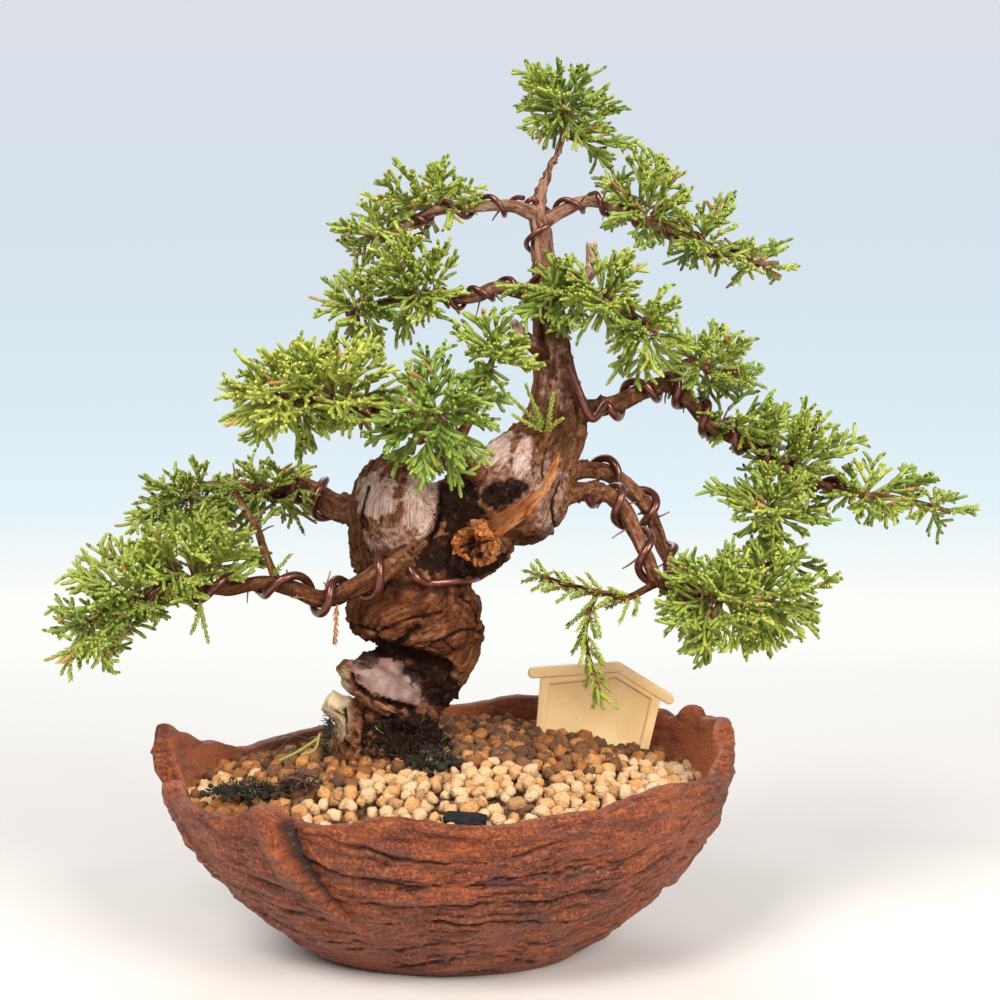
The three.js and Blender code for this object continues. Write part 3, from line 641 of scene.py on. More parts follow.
# %% [markdown]
# ## The soil's surface
# The grit is a loose layer of rounded volcanic grains, four to six millimetres across: pale ones
# in front and at the right, where the pot was topped up last, and rust-brown ones round the
# trunk. Each grain is a cube with every side cut into nine, drawn towards a ball and dented by
# noise, so it has 54 faces. Eight such grains, turned and sized at random, are enough.

# %% The mound
SOIL_PEAK = Vector((2, 25, 69))
SOIL_FALL_X = 0.0019
SOIL_FALL_Y = 0.0014
SOIL_UNDER_RIM = 2.5
SOIL_INSET = POT_WALL + 0.85
GRAIN_INSET = 3  # keeps the grains' middles off the wall
GRIT_LINE = [(-40, -110), (-38, -36), (-2, -18), (36, -20), (62, 5), (120, 62)]


def share_of_way(x, y):
    """The direction of a place, and how far it is from the middle to the wall."""
    reach_y = (POT_FRONT_REACH if y < 0 else POT_BACK_REACH) - SOIL_INSET - GRAIN_INSET
    reach_x = POT_HALF_WIDTH - SOIL_INSET - GRAIN_INSET
    angle = math.atan2(y / reach_y, x / reach_x) % (2 * math.pi)
    edge = bowl_point(angle, rim_height(angle) - SOIL_UNDER_RIM, SOIL_INSET)
    return angle, math.hypot(x, y) / math.hypot(edge.x, edge.y)


def ground(x, y):
    """The height of the soil."""
    fall = SOIL_FALL_X * (x - SOIL_PEAK.x) ** 2
    mound = SOIL_PEAK.z - fall - SOIL_FALL_Y * (y - SOIL_PEAK.y) ** 2
    angle, share = share_of_way(x, y)
    near = smooth_step(share, 0.7, 1)
    return blend(mound, min(mound, rim_height(angle) - SOIL_UNDER_RIM), near)


def on_pale_side(x, y):
    """Which sort lies here. The strip along the left wall has its own border."""
    if x < -66 and y > -14:
        return y < 4
    for (left, first), (right, second) in zip(GRIT_LINE, GRIT_LINE[1:]):
        if left <= x <= right:
            return y < blend(first, second, (x - left) / (right - left))
    return x > 0


print("soil height in the middle", round(ground(0, 0), 2), "at the left", round(ground(-75, 0), 2))


# %% Eight grains
CORNER_SHARE = 0.28
DENT = 0.2


def grain_shape(seed):
    bm = bmesh.new()
    bmesh.ops.create_cube(bm, size=1)
    bmesh.ops.subdivide_edges(bm, edges=bm.edges, cuts=2, use_grid_fill=True)
    rolls = random.Random(seed)
    squash = Vector((rolls.uniform(0.85, 1.2), rolls.uniform(0.8, 1.05), rolls.uniform(0.72, 0.95)))
    for vert in bm.verts:
        ball = vert.co.normalized()
        corner = vert.co * 1.25
        round_off = ball.lerp(corner, CORNER_SHARE)
        push = 1 + DENT * 2 * noise.noise(ball * 1.3 + Vector((seed * 7, 0, 0)))
        push += DENT * noise.noise(ball * 3.1 + Vector((0, seed * 5, 0)))
        vert.co = round_off * squash * push
    bmesh.ops.recalc_face_normals(bm, faces=bm.faces)
    mesh = to_mesh(bm, f"grain_{seed}")
    mesh.attributes.new("tone", "FLOAT", "POINT")
    return mesh


GRAINS = [grain_shape(seed) for seed in range(8)]
print("faces of a grain", len(GRAINS[0].polygons))


# %% Placing many copies
class Heap:
    """One mesh made of many placed copies, each with its own tone."""

    def __init__(self, *fields):
        self.bm = bmesh.new()
        for field in (*fields, "tone"):
            self.bm.verts.layers.float.new(field)

    def add(self, mesh, matrix, **fields):
        copy = mesh.copy()
        copy.transform(matrix)
        for field, value in fields.items():
            copy.attributes[field].data.foreach_set("value", [value] * len(copy.vertices))
        self.bm.from_mesh(copy)
        bpy.data.meshes.remove(copy)


def jog(rolls, amount):
    """A small push in any direction."""
    return Vector([rolls.gauss(0, amount) for _ in range(3)])


def turned(rolls):
    """A turn that points any way up."""
    axis = jog(rolls, 1).normalized()
    return Matrix.Rotation(rolls.uniform(0, 2 * math.pi), 4, axis)


def on_ball(way, half_sizes):
    """The point of a stretched ball that lies in the direction of way."""
    return Vector(way[i] * half_sizes[i] for i in range(3))


# %% [markdown]
# ## Scattering the grit
# Thousands of grains are thrown over the oval, and one that would land too close to an earlier
# one doesn't count. A second layer, a little lower, fills what shows between them. Near the line
# between the two sorts some of each are mixed, as they are wherever two heaps meet.

# %% Scatter the grit
TRUNK_FOOT = Vector((-19, 0))
TRUNK_FOOT_RADIUS = 17.5
GRAIN_RADIUS = 2.6
# How far a layer of grains is sunk, their spacing, and the number of throws.
GRIT_LAYERS = ((1.7, 3.95, 11000), (3.5, 4.6, 7000))


def throw_grains(rolls, spacing, throws):
    """Places in plan, at least a spacing apart, inside the wall and outside the trunk."""
    cells = {}
    for _ in range(throws):
        x = rolls.uniform(-POT_HALF_WIDTH, POT_HALF_WIDTH)
        y = rolls.uniform(-POT_FRONT_REACH, POT_BACK_REACH)
        if share_of_way(x, y)[1] > 1.0 or (Vector((x, y)) - TRUNK_FOOT).length < TRUNK_FOOT_RADIUS:
            continue
        column, line = int(x // spacing), int(y // spacing)
        near = [
            cells[key]
            for key in ((column + i, line + j) for i in (-1, 0, 1) for j in (-1, 0, 1))
            if key in cells
        ]
        if all(math.hypot(x - a, y - b) > spacing for a, b in near):
            cells[column, line] = (x, y)
    return list(cells.values())


pale_heap, brown_heap = Heap(), Heap()
rolls = random.Random(31)
for sunk, spacing, throws in GRIT_LAYERS:
    for x, y in throw_grains(rolls, spacing, throws):
        pale = on_pale_side(x + rolls.gauss(0, 4), y + rolls.gauss(0, 4))
        size = GRAIN_RADIUS * rolls.uniform(0.72, 1.2) * (0.95 if pale else 1.05)
        height = ground(x, y) - sunk + rolls.uniform(-0.5, 0.9)
        place = Matrix.Translation((x, y, height)) @ turned(rolls) @ Matrix.Scale(size, 4)
        tone = rolls.random() ** 1.6 * 0.55 if pale else 0.35 + 0.65 * rolls.random()
        heap = pale_heap if pale else brown_heap
        heap.add(GRAINS[rolls.randrange(len(GRAINS))], place, tone=tone)
print("faces of pale grit", len(pale_heap.bm.faces), "of brown grit", len(brown_heap.bm.faces))

# %% [markdown]
# ## Grit finish
# Each grain takes one tone from cream over rust to dark brown, and noise mottles it. Its pores,
# the low places of its bump, are painted dark as shade, and its high spots are dusty, as on pumice.


# %% Grit finish
def grit_finish(name, stops):
    grit = Finish(name, {"Roughness": 0.88, "Specular IOR Level": 0.25})
    mottle = grit.noise(0.45, 4)
    tone = grit.attribute("tone") + (mottle - 0.5) * 0.5
    color = grit.ramp(tone, stops)
    pits = grit.noise(1.7, 5)
    # Painted shade: the low places of the bump, the pores, are darkened.
    pit_shade = grit.between(pits, 0.48, 0.30)
    color = grit.mix(pit_shade * 0.5, color, shade(0.12, 0.050, 0.020))
    dust = grit.between(grit.noise(0.8, 3), 0.58, 0.75)
    color = grit.mix(dust * 0.3, color, shade(0.88, 0.66, 0.40))
    return grit.lay(color, height=pits, depth=1.1)


pale_finish = grit_finish("pale_grit", [
    (0.0, (0.80, 0.55, 0.32)),
    (0.24, (0.76, 0.45, 0.21)),
    (0.42, (0.66, 0.33, 0.115)),
    (0.62, (0.34, 0.20, 0.11)),
])
brown_finish = grit_finish("brown_grit", [
    (0.28, (0.70, 0.37, 0.14)),
    (0.46, (0.52, 0.20, 0.055)),
    (0.66, (0.29, 0.115, 0.040)),
    (0.92, (0.12, 0.064, 0.032)),
])
pale_mesh = to_mesh(pale_heap.bm, "pale_gravel")
brown_mesh = to_mesh(brown_heap.bm, "brown_gravel")
hand_over("pale_gravel", pale_mesh, pale_finish, "pale_grit", "pale_grit")
hand_over("brown_gravel", brown_mesh, brown_finish, "brown_grit", "brown_grit")

# %% [markdown]
# ## Soil and drain mesh
# The soil bed and the two pieces of drain mesh keep their plain solids, because hardly anything
# of them shows: dark damp soil under the grains, and coarse plastic mesh seen through the drain
# holes from below.

# %% Soil and drain mesh
soil = Finish("damp_soil", {"Roughness": 0.95})
crumbs = soil.noise(0.5, 6)
soil_color = soil.ramp(crumbs, [(0.35, (0.06, 0.028, 0.014)), (0.62, (0.30, 0.16, 0.075))])
soil_finish = soil.lay(soil_color, height=crumbs, depth=1.5)
plastic = Finish("drain_mesh_plastic")
scuffs = plastic.noise(0.8, 4)
plastic_color = plastic.ramp(scuffs, [(0.3, (0.012, 0.014, 0.013)), (0.75, (0.05, 0.055, 0.05))])
plastic_finish = plastic.lay(plastic_color, 0.35 + scuffs * 0.4, scuffs, 0.1)
coat(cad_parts["soil_bed"].data, soil_finish)
for side in ("left", "right"):
    coat(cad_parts["drain_mesh_" + side].data, plastic_finish)
print("coated", soil_finish.name, plastic_finish.name)

# %% [markdown]
# ## Routes of the wood
# Every limb follows a route of points, each with the limb's radius there. The wires wind on the
# same routes, so both come from one table.

# %% Routes
# Each station is (x, y, z, radius).
ROUTES = {
    "lower_left": [
        (-8, -12, 134, 4.2), (-16, -18, 128.5, 3.9), (-24, -21, 123, 3.5), (-32, -22, 119, 3.2),
        (-39, -22, 117, 3), (-48, -20, 120, 2.8), (-58, -18, 122, 2.5), (-69, -18, 120, 2.3),
        (-80, -18, 120, 1.9), (-90, -20, 118, 1.6), (-100, -20, 115, 1.3), (-108, -20, 115, 1),
        (-115, -20, 108, 0.9),
    ],
    "lower_left_riser": [
        (-53, -19, 121, 1.7), (-58, -14, 131, 1.3), (-62, -8, 139, 1.1), (-67, 0, 145, 1),
        (-71, 4, 151, 0.9),
    ],
    "upper_left_low": [
        (-15, 2, 144, 6), (-32, 12, 144, 5), (-40, 14, 146, 4.6), (-47, 16, 151, 3.8),
        (-55, 18, 153, 3), (-65, 20, 151, 2.2), (-74, 20, 153, 1.6), (-85, 20, 153, 1.1),
        (-93, 18, 150, 0.9),
    ],
    "front": [
        (12, -9, 154, 3.4), (6, -22, 161, 3), (0, -34, 166, 2.8), (-6, -44, 170, 2.5),
        (-14, -50, 172, 2.2), (-24, -50, 175, 1.8), (-35, -48, 177, 1.4), (-45, -46, 179, 1.1),
        (-55, -44, 179, 0.9),
    ],
    "front_fork": [
        (-5, -44, 169, 2.4), (-4, -54, 172, 1.6), (-2, -64, 173, 1.1), (-1, -72, 174, 0.9),
    ],
    "front_riser": [
        (2, -34, 163, 2.2), (8, -38, 173, 1.4), (12, -42, 182, 1.1), (15, -44, 191, 0.9),
    ],
    "upper_left": [
        (33, 0, 215, 3.2), (24, -4, 216, 2.5), (16, -6, 217, 2.3), (9, -8, 214, 2.1),
        (2, -8, 213, 1.9), (-6, -8, 214, 1.6), (-15, -8, 213, 1.3), (-24, -8, 211, 1.1),
        (-33, -8, 208, 0.9),
    ],
    "top_left": [
        (29, 0, 242, 2.9), (22, -3, 244, 2.2), (16, -5, 244, 2.1), (6, -6, 243, 1.9),
        (-4, -6, 242, 1.7), (-11, -6, 239, 1.5), (-19, -6, 235, 1.3), (-27, -6, 233, 1),
        (-32, -6, 231, 0.9),
    ],
    "top_right": [
        (29, 0, 239, 2.9), (36, 3, 243, 2.3), (44, 5, 247, 2.1), (50, 6, 247, 1.9),
        (58, 6, 244, 1.8), (66, 6, 241, 1.6), (74, 6, 238, 1.4), (85, 6, 233, 1.3),
        (95, 6, 229, 1.1), (104, 6, 227, 0.9), (110, 6, 227, 0.9),
    ],
    "centre": [
        (33, -2, 214, 3.1), (38, -12, 215, 2.3), (45, -20, 213, 1.9), (52, -24, 209, 1.6),
        (61, -26, 204, 1.1), (66, -26, 200, 0.9),
    ],
    "right_mid": [
        (36, 1, 176, 4.5), (47, 2, 178, 3.2), (56, 3, 180, 3), (66, 4, 185, 2.9),
        (73, 4, 186, 2.7), (80, 4, 181, 2.5), (86, 4, 174, 2.3), (93, 4, 169, 2.1),
        (101, 4, 166, 1.9), (108, 4, 160, 1.8), (117, 4, 156, 1.6), (127, 4, 152, 1.4),
        (137, 4, 150, 1.3), (147, 4, 149, 1), (157, 4, 147, 0.9), (167, 4, 144, 0.9),
    ],
    "right_mid_twig": [
        (74, 4, 187, 1.8), (80, 2, 194, 1.3), (87, 0, 190, 1.1), (95, -2, 190, 0.9),
    ],
    "right_low_back": [
        (32, 4, 157, 4.9), (47, 12, 158, 3.1), (54, 14, 157, 3), (61, 16, 152, 2.8),
        (67, 18, 146, 2.7), (70, 18, 139, 2.5), (73, 14, 130, 2.3), (77, 10, 124, 2),
        (86, 8, 122, 1.6), (98, 6, 123, 1.3), (108, 4, 128, 1.1), (110, 2, 137, 0.9),
        (106, 0, 145, 0.9),
    ],
    "right_low_front": [
        (30, -3, 148, 4.9), (45, -1, 151, 3.1), (52, -1, 150, 2.9), (57, -2, 146, 2.8),
        (61, -4, 138, 2.6), (65, -6, 129, 2.4), (68, -10, 122, 2.2), (75, -12, 120, 1.8),
        (83, -14, 119, 1.5), (91, -14, 116, 1.2), (98, -14, 114, 0.9),
    ],
    "right_hang": [
        (67, -10, 121, 1.5), (58, -14, 117, 1.1), (48, -17, 119, 1), (39, -18, 121, 0.9),
        (30, -19, 124, 0.9),
    ],
    "right_hang_down": [
        (48, -17, 119, 1), (45, -19, 112, 0.9), (44, -20, 104, 0.9), (46, -21, 95, 0.9),
        (48, -21, 88, 0.9),
    ],
    "top_stub": [
        (34, -1, 218, 2.8), (46, -4, 222, 2.3), (47, -4, 232, 2),
    ],
    "torn_stub": [
        (32, -2, 196, 3), (25, -6, 201, 2.1), (21, -8, 206, 1.4),
    ],
}
TRUNK_ROUTE = [
    (-19, 2, 50, 19), (-19, 1, 56, 19.5), (-19, 0, 63, 20), (-19, 0, 70, 18.5), (-17, 2, 78, 15),
    (-12, 4, 86, 12.5), (-6, 4, 93, 13), (-8, 3, 101, 15.5), (-10, 0, 112, 17),
    (-10, -1, 123, 16.5), (-6, 0, 133, 15), (4, 0, 142, 15), (17, 0, 150, 14.5),
    (27, 0, 160, 13.5), (34, 2, 170, 11), (36, 2, 180, 8.6), (36, 2, 193, 7),
    (34, 0, 204, 6), (33, 0, 216, 4.8), (31, -1, 226, 4), (30, -1, 236, 3.5), (29, 0, 245, 2.8),
    (32, 0, 253, 2), (34, 0, 259, 1.7), (37, 0, 265, 1.4), (39, 0, 275, 1),
]
print("limbs", len(ROUTES), "stations", sum(len(route) for route in ROUTES.values()))


# %% Smooth curve through a route
def spline(p0, p1, p2, p3, share):
    """A point between p1 and p2 on a curve that doesn't swing out at uneven steps."""
    first, middle, last = ((b - a).length ** 0.5 for a, b in ((p0, p1), (p1, p2), (p2, p3)))
    start = (p1 - p0) / first - (p2 - p0) / (first + middle) + (p2 - p1) / middle
    end = (p2 - p1) / middle - (p3 - p1) / (middle + last) + (p3 - p2) / last
    start, end = start * middle, end * middle
    square, cube = share**2, share**3
    return (
        p1 * (2 * cube - 3 * square + 1)
        + start * (cube - 2 * square + share)
        + p2 * (3 * square - 2 * cube)
        + end * (cube - square)
    )


def on_route(route, share):
    """The place and the radius at a share of the route."""
    points = [Vector(station[:3]) for station in route]
    points = [points[0] * 2 - points[1], *points, points[-1] * 2 - points[-2]]
    along = share * (len(route) - 1)
    index = min(int(along), len(route) - 2)
    place = spline(*points[index : index + 4], along - index)
    return place, blend(route[index][3], route[index + 1][3], along - index)


NUDGE = 1e-4


def frames_on(route, first, last, steps):
    """Steps along a route: share, place, tangent, two directions across it, and radius."""
    frames = []
    across = None
    for step in range(steps + 1):
        share = blend(first, last, step / steps)
        place, radius = on_route(route, share)
        ahead = on_route(route, min(share + NUDGE, 1))[0]
        behind = on_route(route, max(share - NUDGE, 0))[0]
        tangent = (ahead - behind).normalized()
        if across is None:
            across = Vector((-tangent.z, tangent.x, tangent.y)).cross(tangent).normalized()
        else:
            across = last_tangent.rotation_difference(tangent) @ across
        last_tangent = tangent
        frames.append((share, place, tangent, across.copy(), tangent.cross(across), radius))
    return frames


def route_length(route):
    places = [Vector(station[:3]) for station in route]
    return sum((b - a).length for a, b in zip(places, places[1:]))


print("lower left limb", round(route_length(ROUTES["lower_left"])), "mm long")

# %% [markdown]
# ## The old trunk
# Under its bark the trunk is a stack of swellings: a fibrous black foot, a slanted slab, a wide
# brown lobe that was twisted until its grain lay level, a tall grey lobe at the left, and a big
# bulb at the right with a rotten hollow between them. Each is a stretched ball or a length of
# tube. A voxel remesh melts them into one skin, which noise then cracks along the grain.

# %% Trunk lumps
# Middle, half sizes, and the tilt of its long side, in degrees, down to the right.
TRUNK_LUMPS = [
    ((-20, 1, 58), (22, 20, 12), 0),
    ((-21, -4, 70), (17, 14, 9), 8),
    ((-21.5, -12, 88.5), (15.5, 8, 5.2), 27),
    ((-20.5, -10, 83), (16.5, 10, 3.6), 27),
    ((-22, -2, 93), (9, 10, 6), 0),
    ((-4.5, 5, 92), (10.5, 11, 11), 0),
    ((-11, -2, 108), (23.5, 18, 11.5), 10),
    ((0.5, 1, 100), (10, 13, 12), 0),
    ((2, 0, 112), (9.5, 13, 9), 0),
    ((-10, 2, 122), (19, 16, 8), 0),
    ((-18, -4, 144), (14, 15, 19.5), 0),
    ((-24, 6, 134), (10, 11, 16), 0),
    ((4, 4, 139), (15, 13, 14), -20),
    ((24, -1, 152), (16.5, 17, 18.5), -12),
    ((31, 1, 160), (11, 13, 14), -10),
    ((8, -3, 130), (15, 14, 8), -28),
    ((36, -1, 172), (9, 9, 8), 0),
]
PRUNED_STUB = [(-22, -4, 75, 6), (-32, -6, 78.5, 4.8), (-39.5, -8, 83, 3.6)]
# The thick limbs, whose first stations grow out of the trunk's own skin.
JOINED_LIMBS = (
    "lower_left", "upper_left_low", "front", "right_mid", "right_low_back", "right_low_front",
)
VOXEL = 0.85


def add_ball(bm, middle, half_sizes, tilt):
    place = Matrix.Translation(middle) @ Matrix.Rotation(math.radians(tilt), 4, "Y")
    place = place @ Matrix.Diagonal((*half_sizes, 1))
    bmesh.ops.create_icosphere(bm, subdivisions=4, radius=1, matrix=place)


def add_tube(bm, route, sides, steps, flat=1.0):
    """A tube along a route: a disc that is pushed out again and again. Returns its rings."""
    disc = bmesh.ops.create_circle(bm, cap_ends=True, segments=sides, radius=1)["verts"]
    cap = disc[0].link_faces[0]
    rings = []
    last_place = Matrix.Identity(4)
    for frame_here in frames_on(route, 0, 1, steps):
        _, place, tangent, across, side, radius = frame_here
        if rings:
            grown = bmesh.ops.extrude_face_region(bm, geom=[cap])["geom"]
            cap = only(bmesh.types.BMFace, grown)[0]
        axes = Matrix((across * radius, side * radius * flat, tangent * radius)).transposed()
        here = Matrix.Translation(place) @ axes.to_4x4()
        bmesh.ops.transform(bm, matrix=here @ last_place.inverted(), verts=cap.verts)
        last_place = here
        rings.append((list(cap.verts), frame_here))
    return rings


# %% Melt the lumps together
bm = bmesh.new()
for middle, half_sizes, tilt in TRUNK_LUMPS:
    add_ball(bm, middle, half_sizes, tilt)
add_tube(bm, TRUNK_ROUTE, 24, 100)
for name in JOINED_LIMBS:
    add_tube(bm, ROUTES[name][:3], 16, 14)
add_tube(bm, PRUNED_STUB, 20, 12)
bmesh.ops.recalc_face_normals(bm, faces=bm.faces)
trunk_mesh = mesh_of(
    to_mesh(bm, "trunk_lumps"), "REMESH", mode="VOXEL", voxel_size=VOXEL, adaptivity=0,
)
print("trunk faces", len(trunk_mesh.polygons))

# %% [markdown]
# ## Cracks, hollows and pale patches
# What makes this trunk look old is where its marks lie: a crevice under the twisted lobe and long
# level splits in it, painted near black as shade, a rotten hollow between the two big swellings,
# and pale patches, partly bark brushed away down to a lilac grey and partly painted highlight on
# the tops of the lobes. Each mark is given as it is seen from the front, on the plane through the
# middle of the pot, as a line or an oval with a half width.

# %% Marks seen from the front
EYE = Vector((17, -462, 152))

# Points, half width, depth.
CRACKS = [
    ([(-24, 103.8), (-15.3, 108.4), (-11.4, 110), (-6, 110.4), (-2, 111.3)], 0.7, 1.5),
    ([(-6.8, 99.1), (0.5, 102.8), (4.5, 105.1), (9.7, 105.4), (12, 104)], 0.8, 1.8),
    ([(-2, 101.8), (2, 98)], 0.5, 0.8),
    ([(4.1, 120), (5.1, 115.6), (8.4, 113), (10.4, 108.4), (9.7, 105.4)], 0.8, 1.8),
    ([(-33, 107), (-27, 105.5), (-23, 104)], 0.5, 0.8),
    ([(-16, 100.5), (-12.5, 104), (-10, 106)], 1.6, 2.2),
    ([(-25, 100), (-18, 98.3), (-12.7, 96.5), (-6, 94.5), (0, 92)], 2.6, 2.4),
    ([(-32.5, 90.5), (-31.5, 87), (-26, 83), (-18, 80.5), (-11, 78.5)], 1.0, 2.2),
    ([(-34, 79), (-34.5, 64)], 0.8, 1.6),
    ([(-28.5, 79), (-29.5, 64)], 0.9, 1.8),
    ([(-26.7, 152.5), (-28.9, 144), (-29.5, 135), (-26, 129)], 0.7, 1.4),
    ([(-2.5, 157), (-3.5, 147), (-4.5, 138), (-10, 131)], 1.5, 2.5),
    ([(32.2, 165), (30.9, 157), (32, 153.5)], 0.5, 0.8),
    ([(37, 154), (34.2, 146), (35.5, 138)], 0.7, 1.2),
]

# The dark patches are partly painted shade, in the crevice under the twisted lobe and behind it, and
# partly rot in the hollow and black fibres at the foot.
# Middle, half sizes, tilt down to the right, strength.
DARK_BARK_AND_SHADE_PATCHES = [
    ((3.8, 145.5), (8, 13), 0, 1), ((18, 150.5), (9, 4.5), -20, 0.9),
    ((-3, 130), (10, 6.5), 0, 1), ((9, 126.5), (13, 4), -18, 0.9),
    ((-7.5, 89.5), (8.5, 5), 30, 0.85), ((-14, 97), (12, 3), 14, 0.9),
    ((-13, 69), (17, 9), 4, 0.95), ((-27, 95.5), (5, 3.5), -30, 0.7),
    ((-12, 119.5), (16, 2.2), 8, 0.6), ((-3, 85.5), (10, 6), 35, 0.95),
    ((37, 171), (5, 8), -30, 0.5), ((30, 135.5), (8, 3.5), -20, 0.5),
]
# The pale patches are partly bark brushed down to lilac grey and partly painted highlight on the tops
# of the lobes.
PALE_BARK_AND_HIGHLIGHT_PATCHES = [
    ((-23.5, 149), (7.5, 8.5), 0, 1), ((-9, 147), (6.5, 13), 0, 0.75), ((-20, 135), (9, 6), 0, 0.5),
    ((14, 166), (8, 7.5), 0, 0.85), ((24.5, 162), (3, 9), 8, 1.3), ((33, 150), (6.5, 15), 0, 0.5),
    ((22, 155), (12, 12), 0, 0.45),
    ((-20.5, 89.5), (15, 7.4), 30, 1.15), ((-37.5, 83.5), (5.5, 5), 20, 1),
    ((36, 190), (7, 12), 0, 0.4), ((-4, 104), (10, 4), -15, 0.3), ((-31.5, 76), (2.4, 3), 3, 0.3),
]
# Middle and direction of the grain.
GRAIN_WAYS = [
    ((-20, 0, 68), (0.08, 0, 1)), ((-21, -10, 86), (0.9, 0, -0.45)), ((-11, -2, 108), (1, 0, 0.2)),
    ((-18, -4, 144), (0.06, 0, 1)), ((25, -1, 152), (0.35, 0, 1)), ((4, 4, 137), (0.5, 0.3, 1)),
    ((35, 1, 178), (0.1, 0, 1)), ((34, 1, 210), (-0.1, 0, 1)), ((30, 0, 240), (-0.1, 0, 1)),
]
GRAIN_STRETCH = 0.13
print("cracks", len(CRACKS), "patches", len(DARK_BARK_AND_SHADE_PATCHES) + len(PALE_BARK_AND_HIGHLIGHT_PATCHES))


# %% Where a mark lies
def seen_from_front(place):
    share = EYE.y / (EYE.y - place.y)
    return Vector((blend(EYE.x, place.x, share), blend(EYE.z, place.z, share)))


def distance_to_line(spot, line):
    nearest = math.inf
    for start, end in zip(line, line[1:]):
        start, way = Vector(start), Vector(end) - Vector(start)
        share = min(max((spot - start).dot(way) / way.length_squared, 0), 1)
        nearest = min(nearest, (spot - start - way * share).length)
    return nearest


def patch_strength(spot, patches, ragged):
    """How strongly a spot lies in any of the ovals. Ragged pushes their edges about."""
    strongest = 0
    for middle, half_sizes, tilt, strength in patches:
        off = Matrix.Rotation(math.radians(tilt), 2) @ (spot - Vector(middle))
        away = math.hypot(off.x / half_sizes[0], off.y / half_sizes[1]) + 0.35 * ragged
        strongest = max(strongest, strength * (1 - smooth_step(away, 0.75, 1.15)))
    return strongest


def grain_at(place):
    """A place in the wood's own measure, squeezed along the grain so that patterns get long."""
    total, mixed = 0, Vector()
    for middle, way in GRAIN_WAYS:
        off = place - Vector(middle)
        way = Vector(way).normalized()
        weight = 1 / (4 + off.length_squared) ** 2
        mixed += (off - way * off.dot(way) * (1 - GRAIN_STRETCH)) * weight
        total += weight
    return mixed / total


print("the trunk's foot as seen from the front", seen_from_front(Vector((-20, -20, 55))))


# %% Bark relief
def steps_of(value, count):
    """Turns a smooth value into terraces with steep edges, like flaking bark."""
    whole, part = divmod(value * count, 1)
    return (whole + smooth_step(part, 0.7, 1)) / count


def trunk_bark(place, faces_front):
    """The bark's height at a place, and how dark and how pale it is."""
    spot = seen_from_front(place)
    grain = grain_at(place)
    ragged = noise.noise(place * 0.35) + 0.5 * noise.noise(place * 0.9)
    dark = patch_strength(spot, DARK_BARK_AND_SHADE_PATCHES, ragged) * (0.35 + 0.65 * faces_front)
    pale = patch_strength(spot, PALE_BARK_AND_HIGHLIGHT_PATCHES, ragged) * (0.4 + 0.6 * faces_front)
    smoothness = pale * (1 - dark)
    terraces = steps_of(noise.noise(grain * 0.22) * 0.5 + 0.5, 5) - 0.5
    flaky = smooth_step(place.z, 162, 174) * (1 - smooth_step(place.z, 205, 225))
    height = (2.6 + 2.9 * flaky) * terraces * (1 - 0.85 * smoothness)
    height += (0.9 - 0.6 * smoothness) * noise.noise(grain * 0.75)
    height += (0.45 - 0.25 * smoothness) * noise.noise(grain * 1.9)
    height += dark * (1.5 * noise.noise(place * 0.45) + 1.1 * noise.noise(place * 1.1))
    low = (1 - smooth_step(place.z, 76, 84)) * smooth_step(place.x, -36, -30)
    ridges = 2.2 * noise.noise(grain * 0.45) + 1.3 * noise.noise(grain * 1.1)
    height += low * (ridges + 0.8 * noise.noise(place))
    split_noise = abs(noise.noise(grain * (0.3 + 0.15 * flaky) + Vector((9, 3, 1))))
    split = 1 - smooth_step(split_noise, 0, 0.07)
    height -= (1.1 + 0.8 * flaky) * split * (1 - smoothness)
    # Painted shade: the splits and the sunk places are darkened.
    dark = max(dark, 0.75 * split * (1 - smoothness), 0.6 * smooth_step(-height, 0.7, 1.8))
    # Each crack is sunk and darkened along its line: painted shade in the cleft.
    for line, half_width, depth in CRACKS:
        away = distance_to_line(spot, line) + 0.5 * ragged * half_width
        cleft = faces_front * (1 - smooth_step(away, half_width * 0.25, half_width * 1.25))
        height -= depth * cleft
        dark = max(dark, cleft)
    return height, dark, pale, grain


def finish_bark(mesh):
    """Pushes the trunk in and out along its normals and stores what the finish needs."""
    fields = {name: [] for name in ("dark", "pale", "grain")}
    moved = []
    for vert in mesh.vertices:
        faces_front = smooth_step(-vert.normal.y, -0.25, 0.15)
        height, dark, pale, grain = trunk_bark(vert.co, faces_front)
        moved.extend(vert.co + vert.normal * height)
        fields["dark"].append(dark)
        fields["pale"].append(pale)
        fields["grain"].extend(grain)
    mesh.vertices.foreach_set("co", moved)
    for name, kind in (("dark", "FLOAT"), ("pale", "FLOAT"), ("grain", "FLOAT_VECTOR")):
        field = mesh.attributes.new(name, kind, "POINT")
        field.data.foreach_set("vector" if kind == "FLOAT_VECTOR" else "value", fields[name])


trunk_mesh = mesh_of(trunk_mesh, "SMOOTH", iterations=4, factor=0.5)
finish_bark(trunk_mesh)
print("trunk points moved", len(trunk_mesh.vertices))

# %% [markdown]
# ## Bark finish
# The colour comes from noise measured along the grain, so it runs in fibres: red brown on the
# flakes, grey lilac where the bark was brushed thin and, as painted highlight, on the tops of the
# lobes, with a breath of green where it stays damp. The clefts, splits and sunk places are painted
# nearly black as shade, the rotten places are nearly black with specks of rust, and the pruned
# stub at the foot is bare cream wood. Bark takes no polish at all.

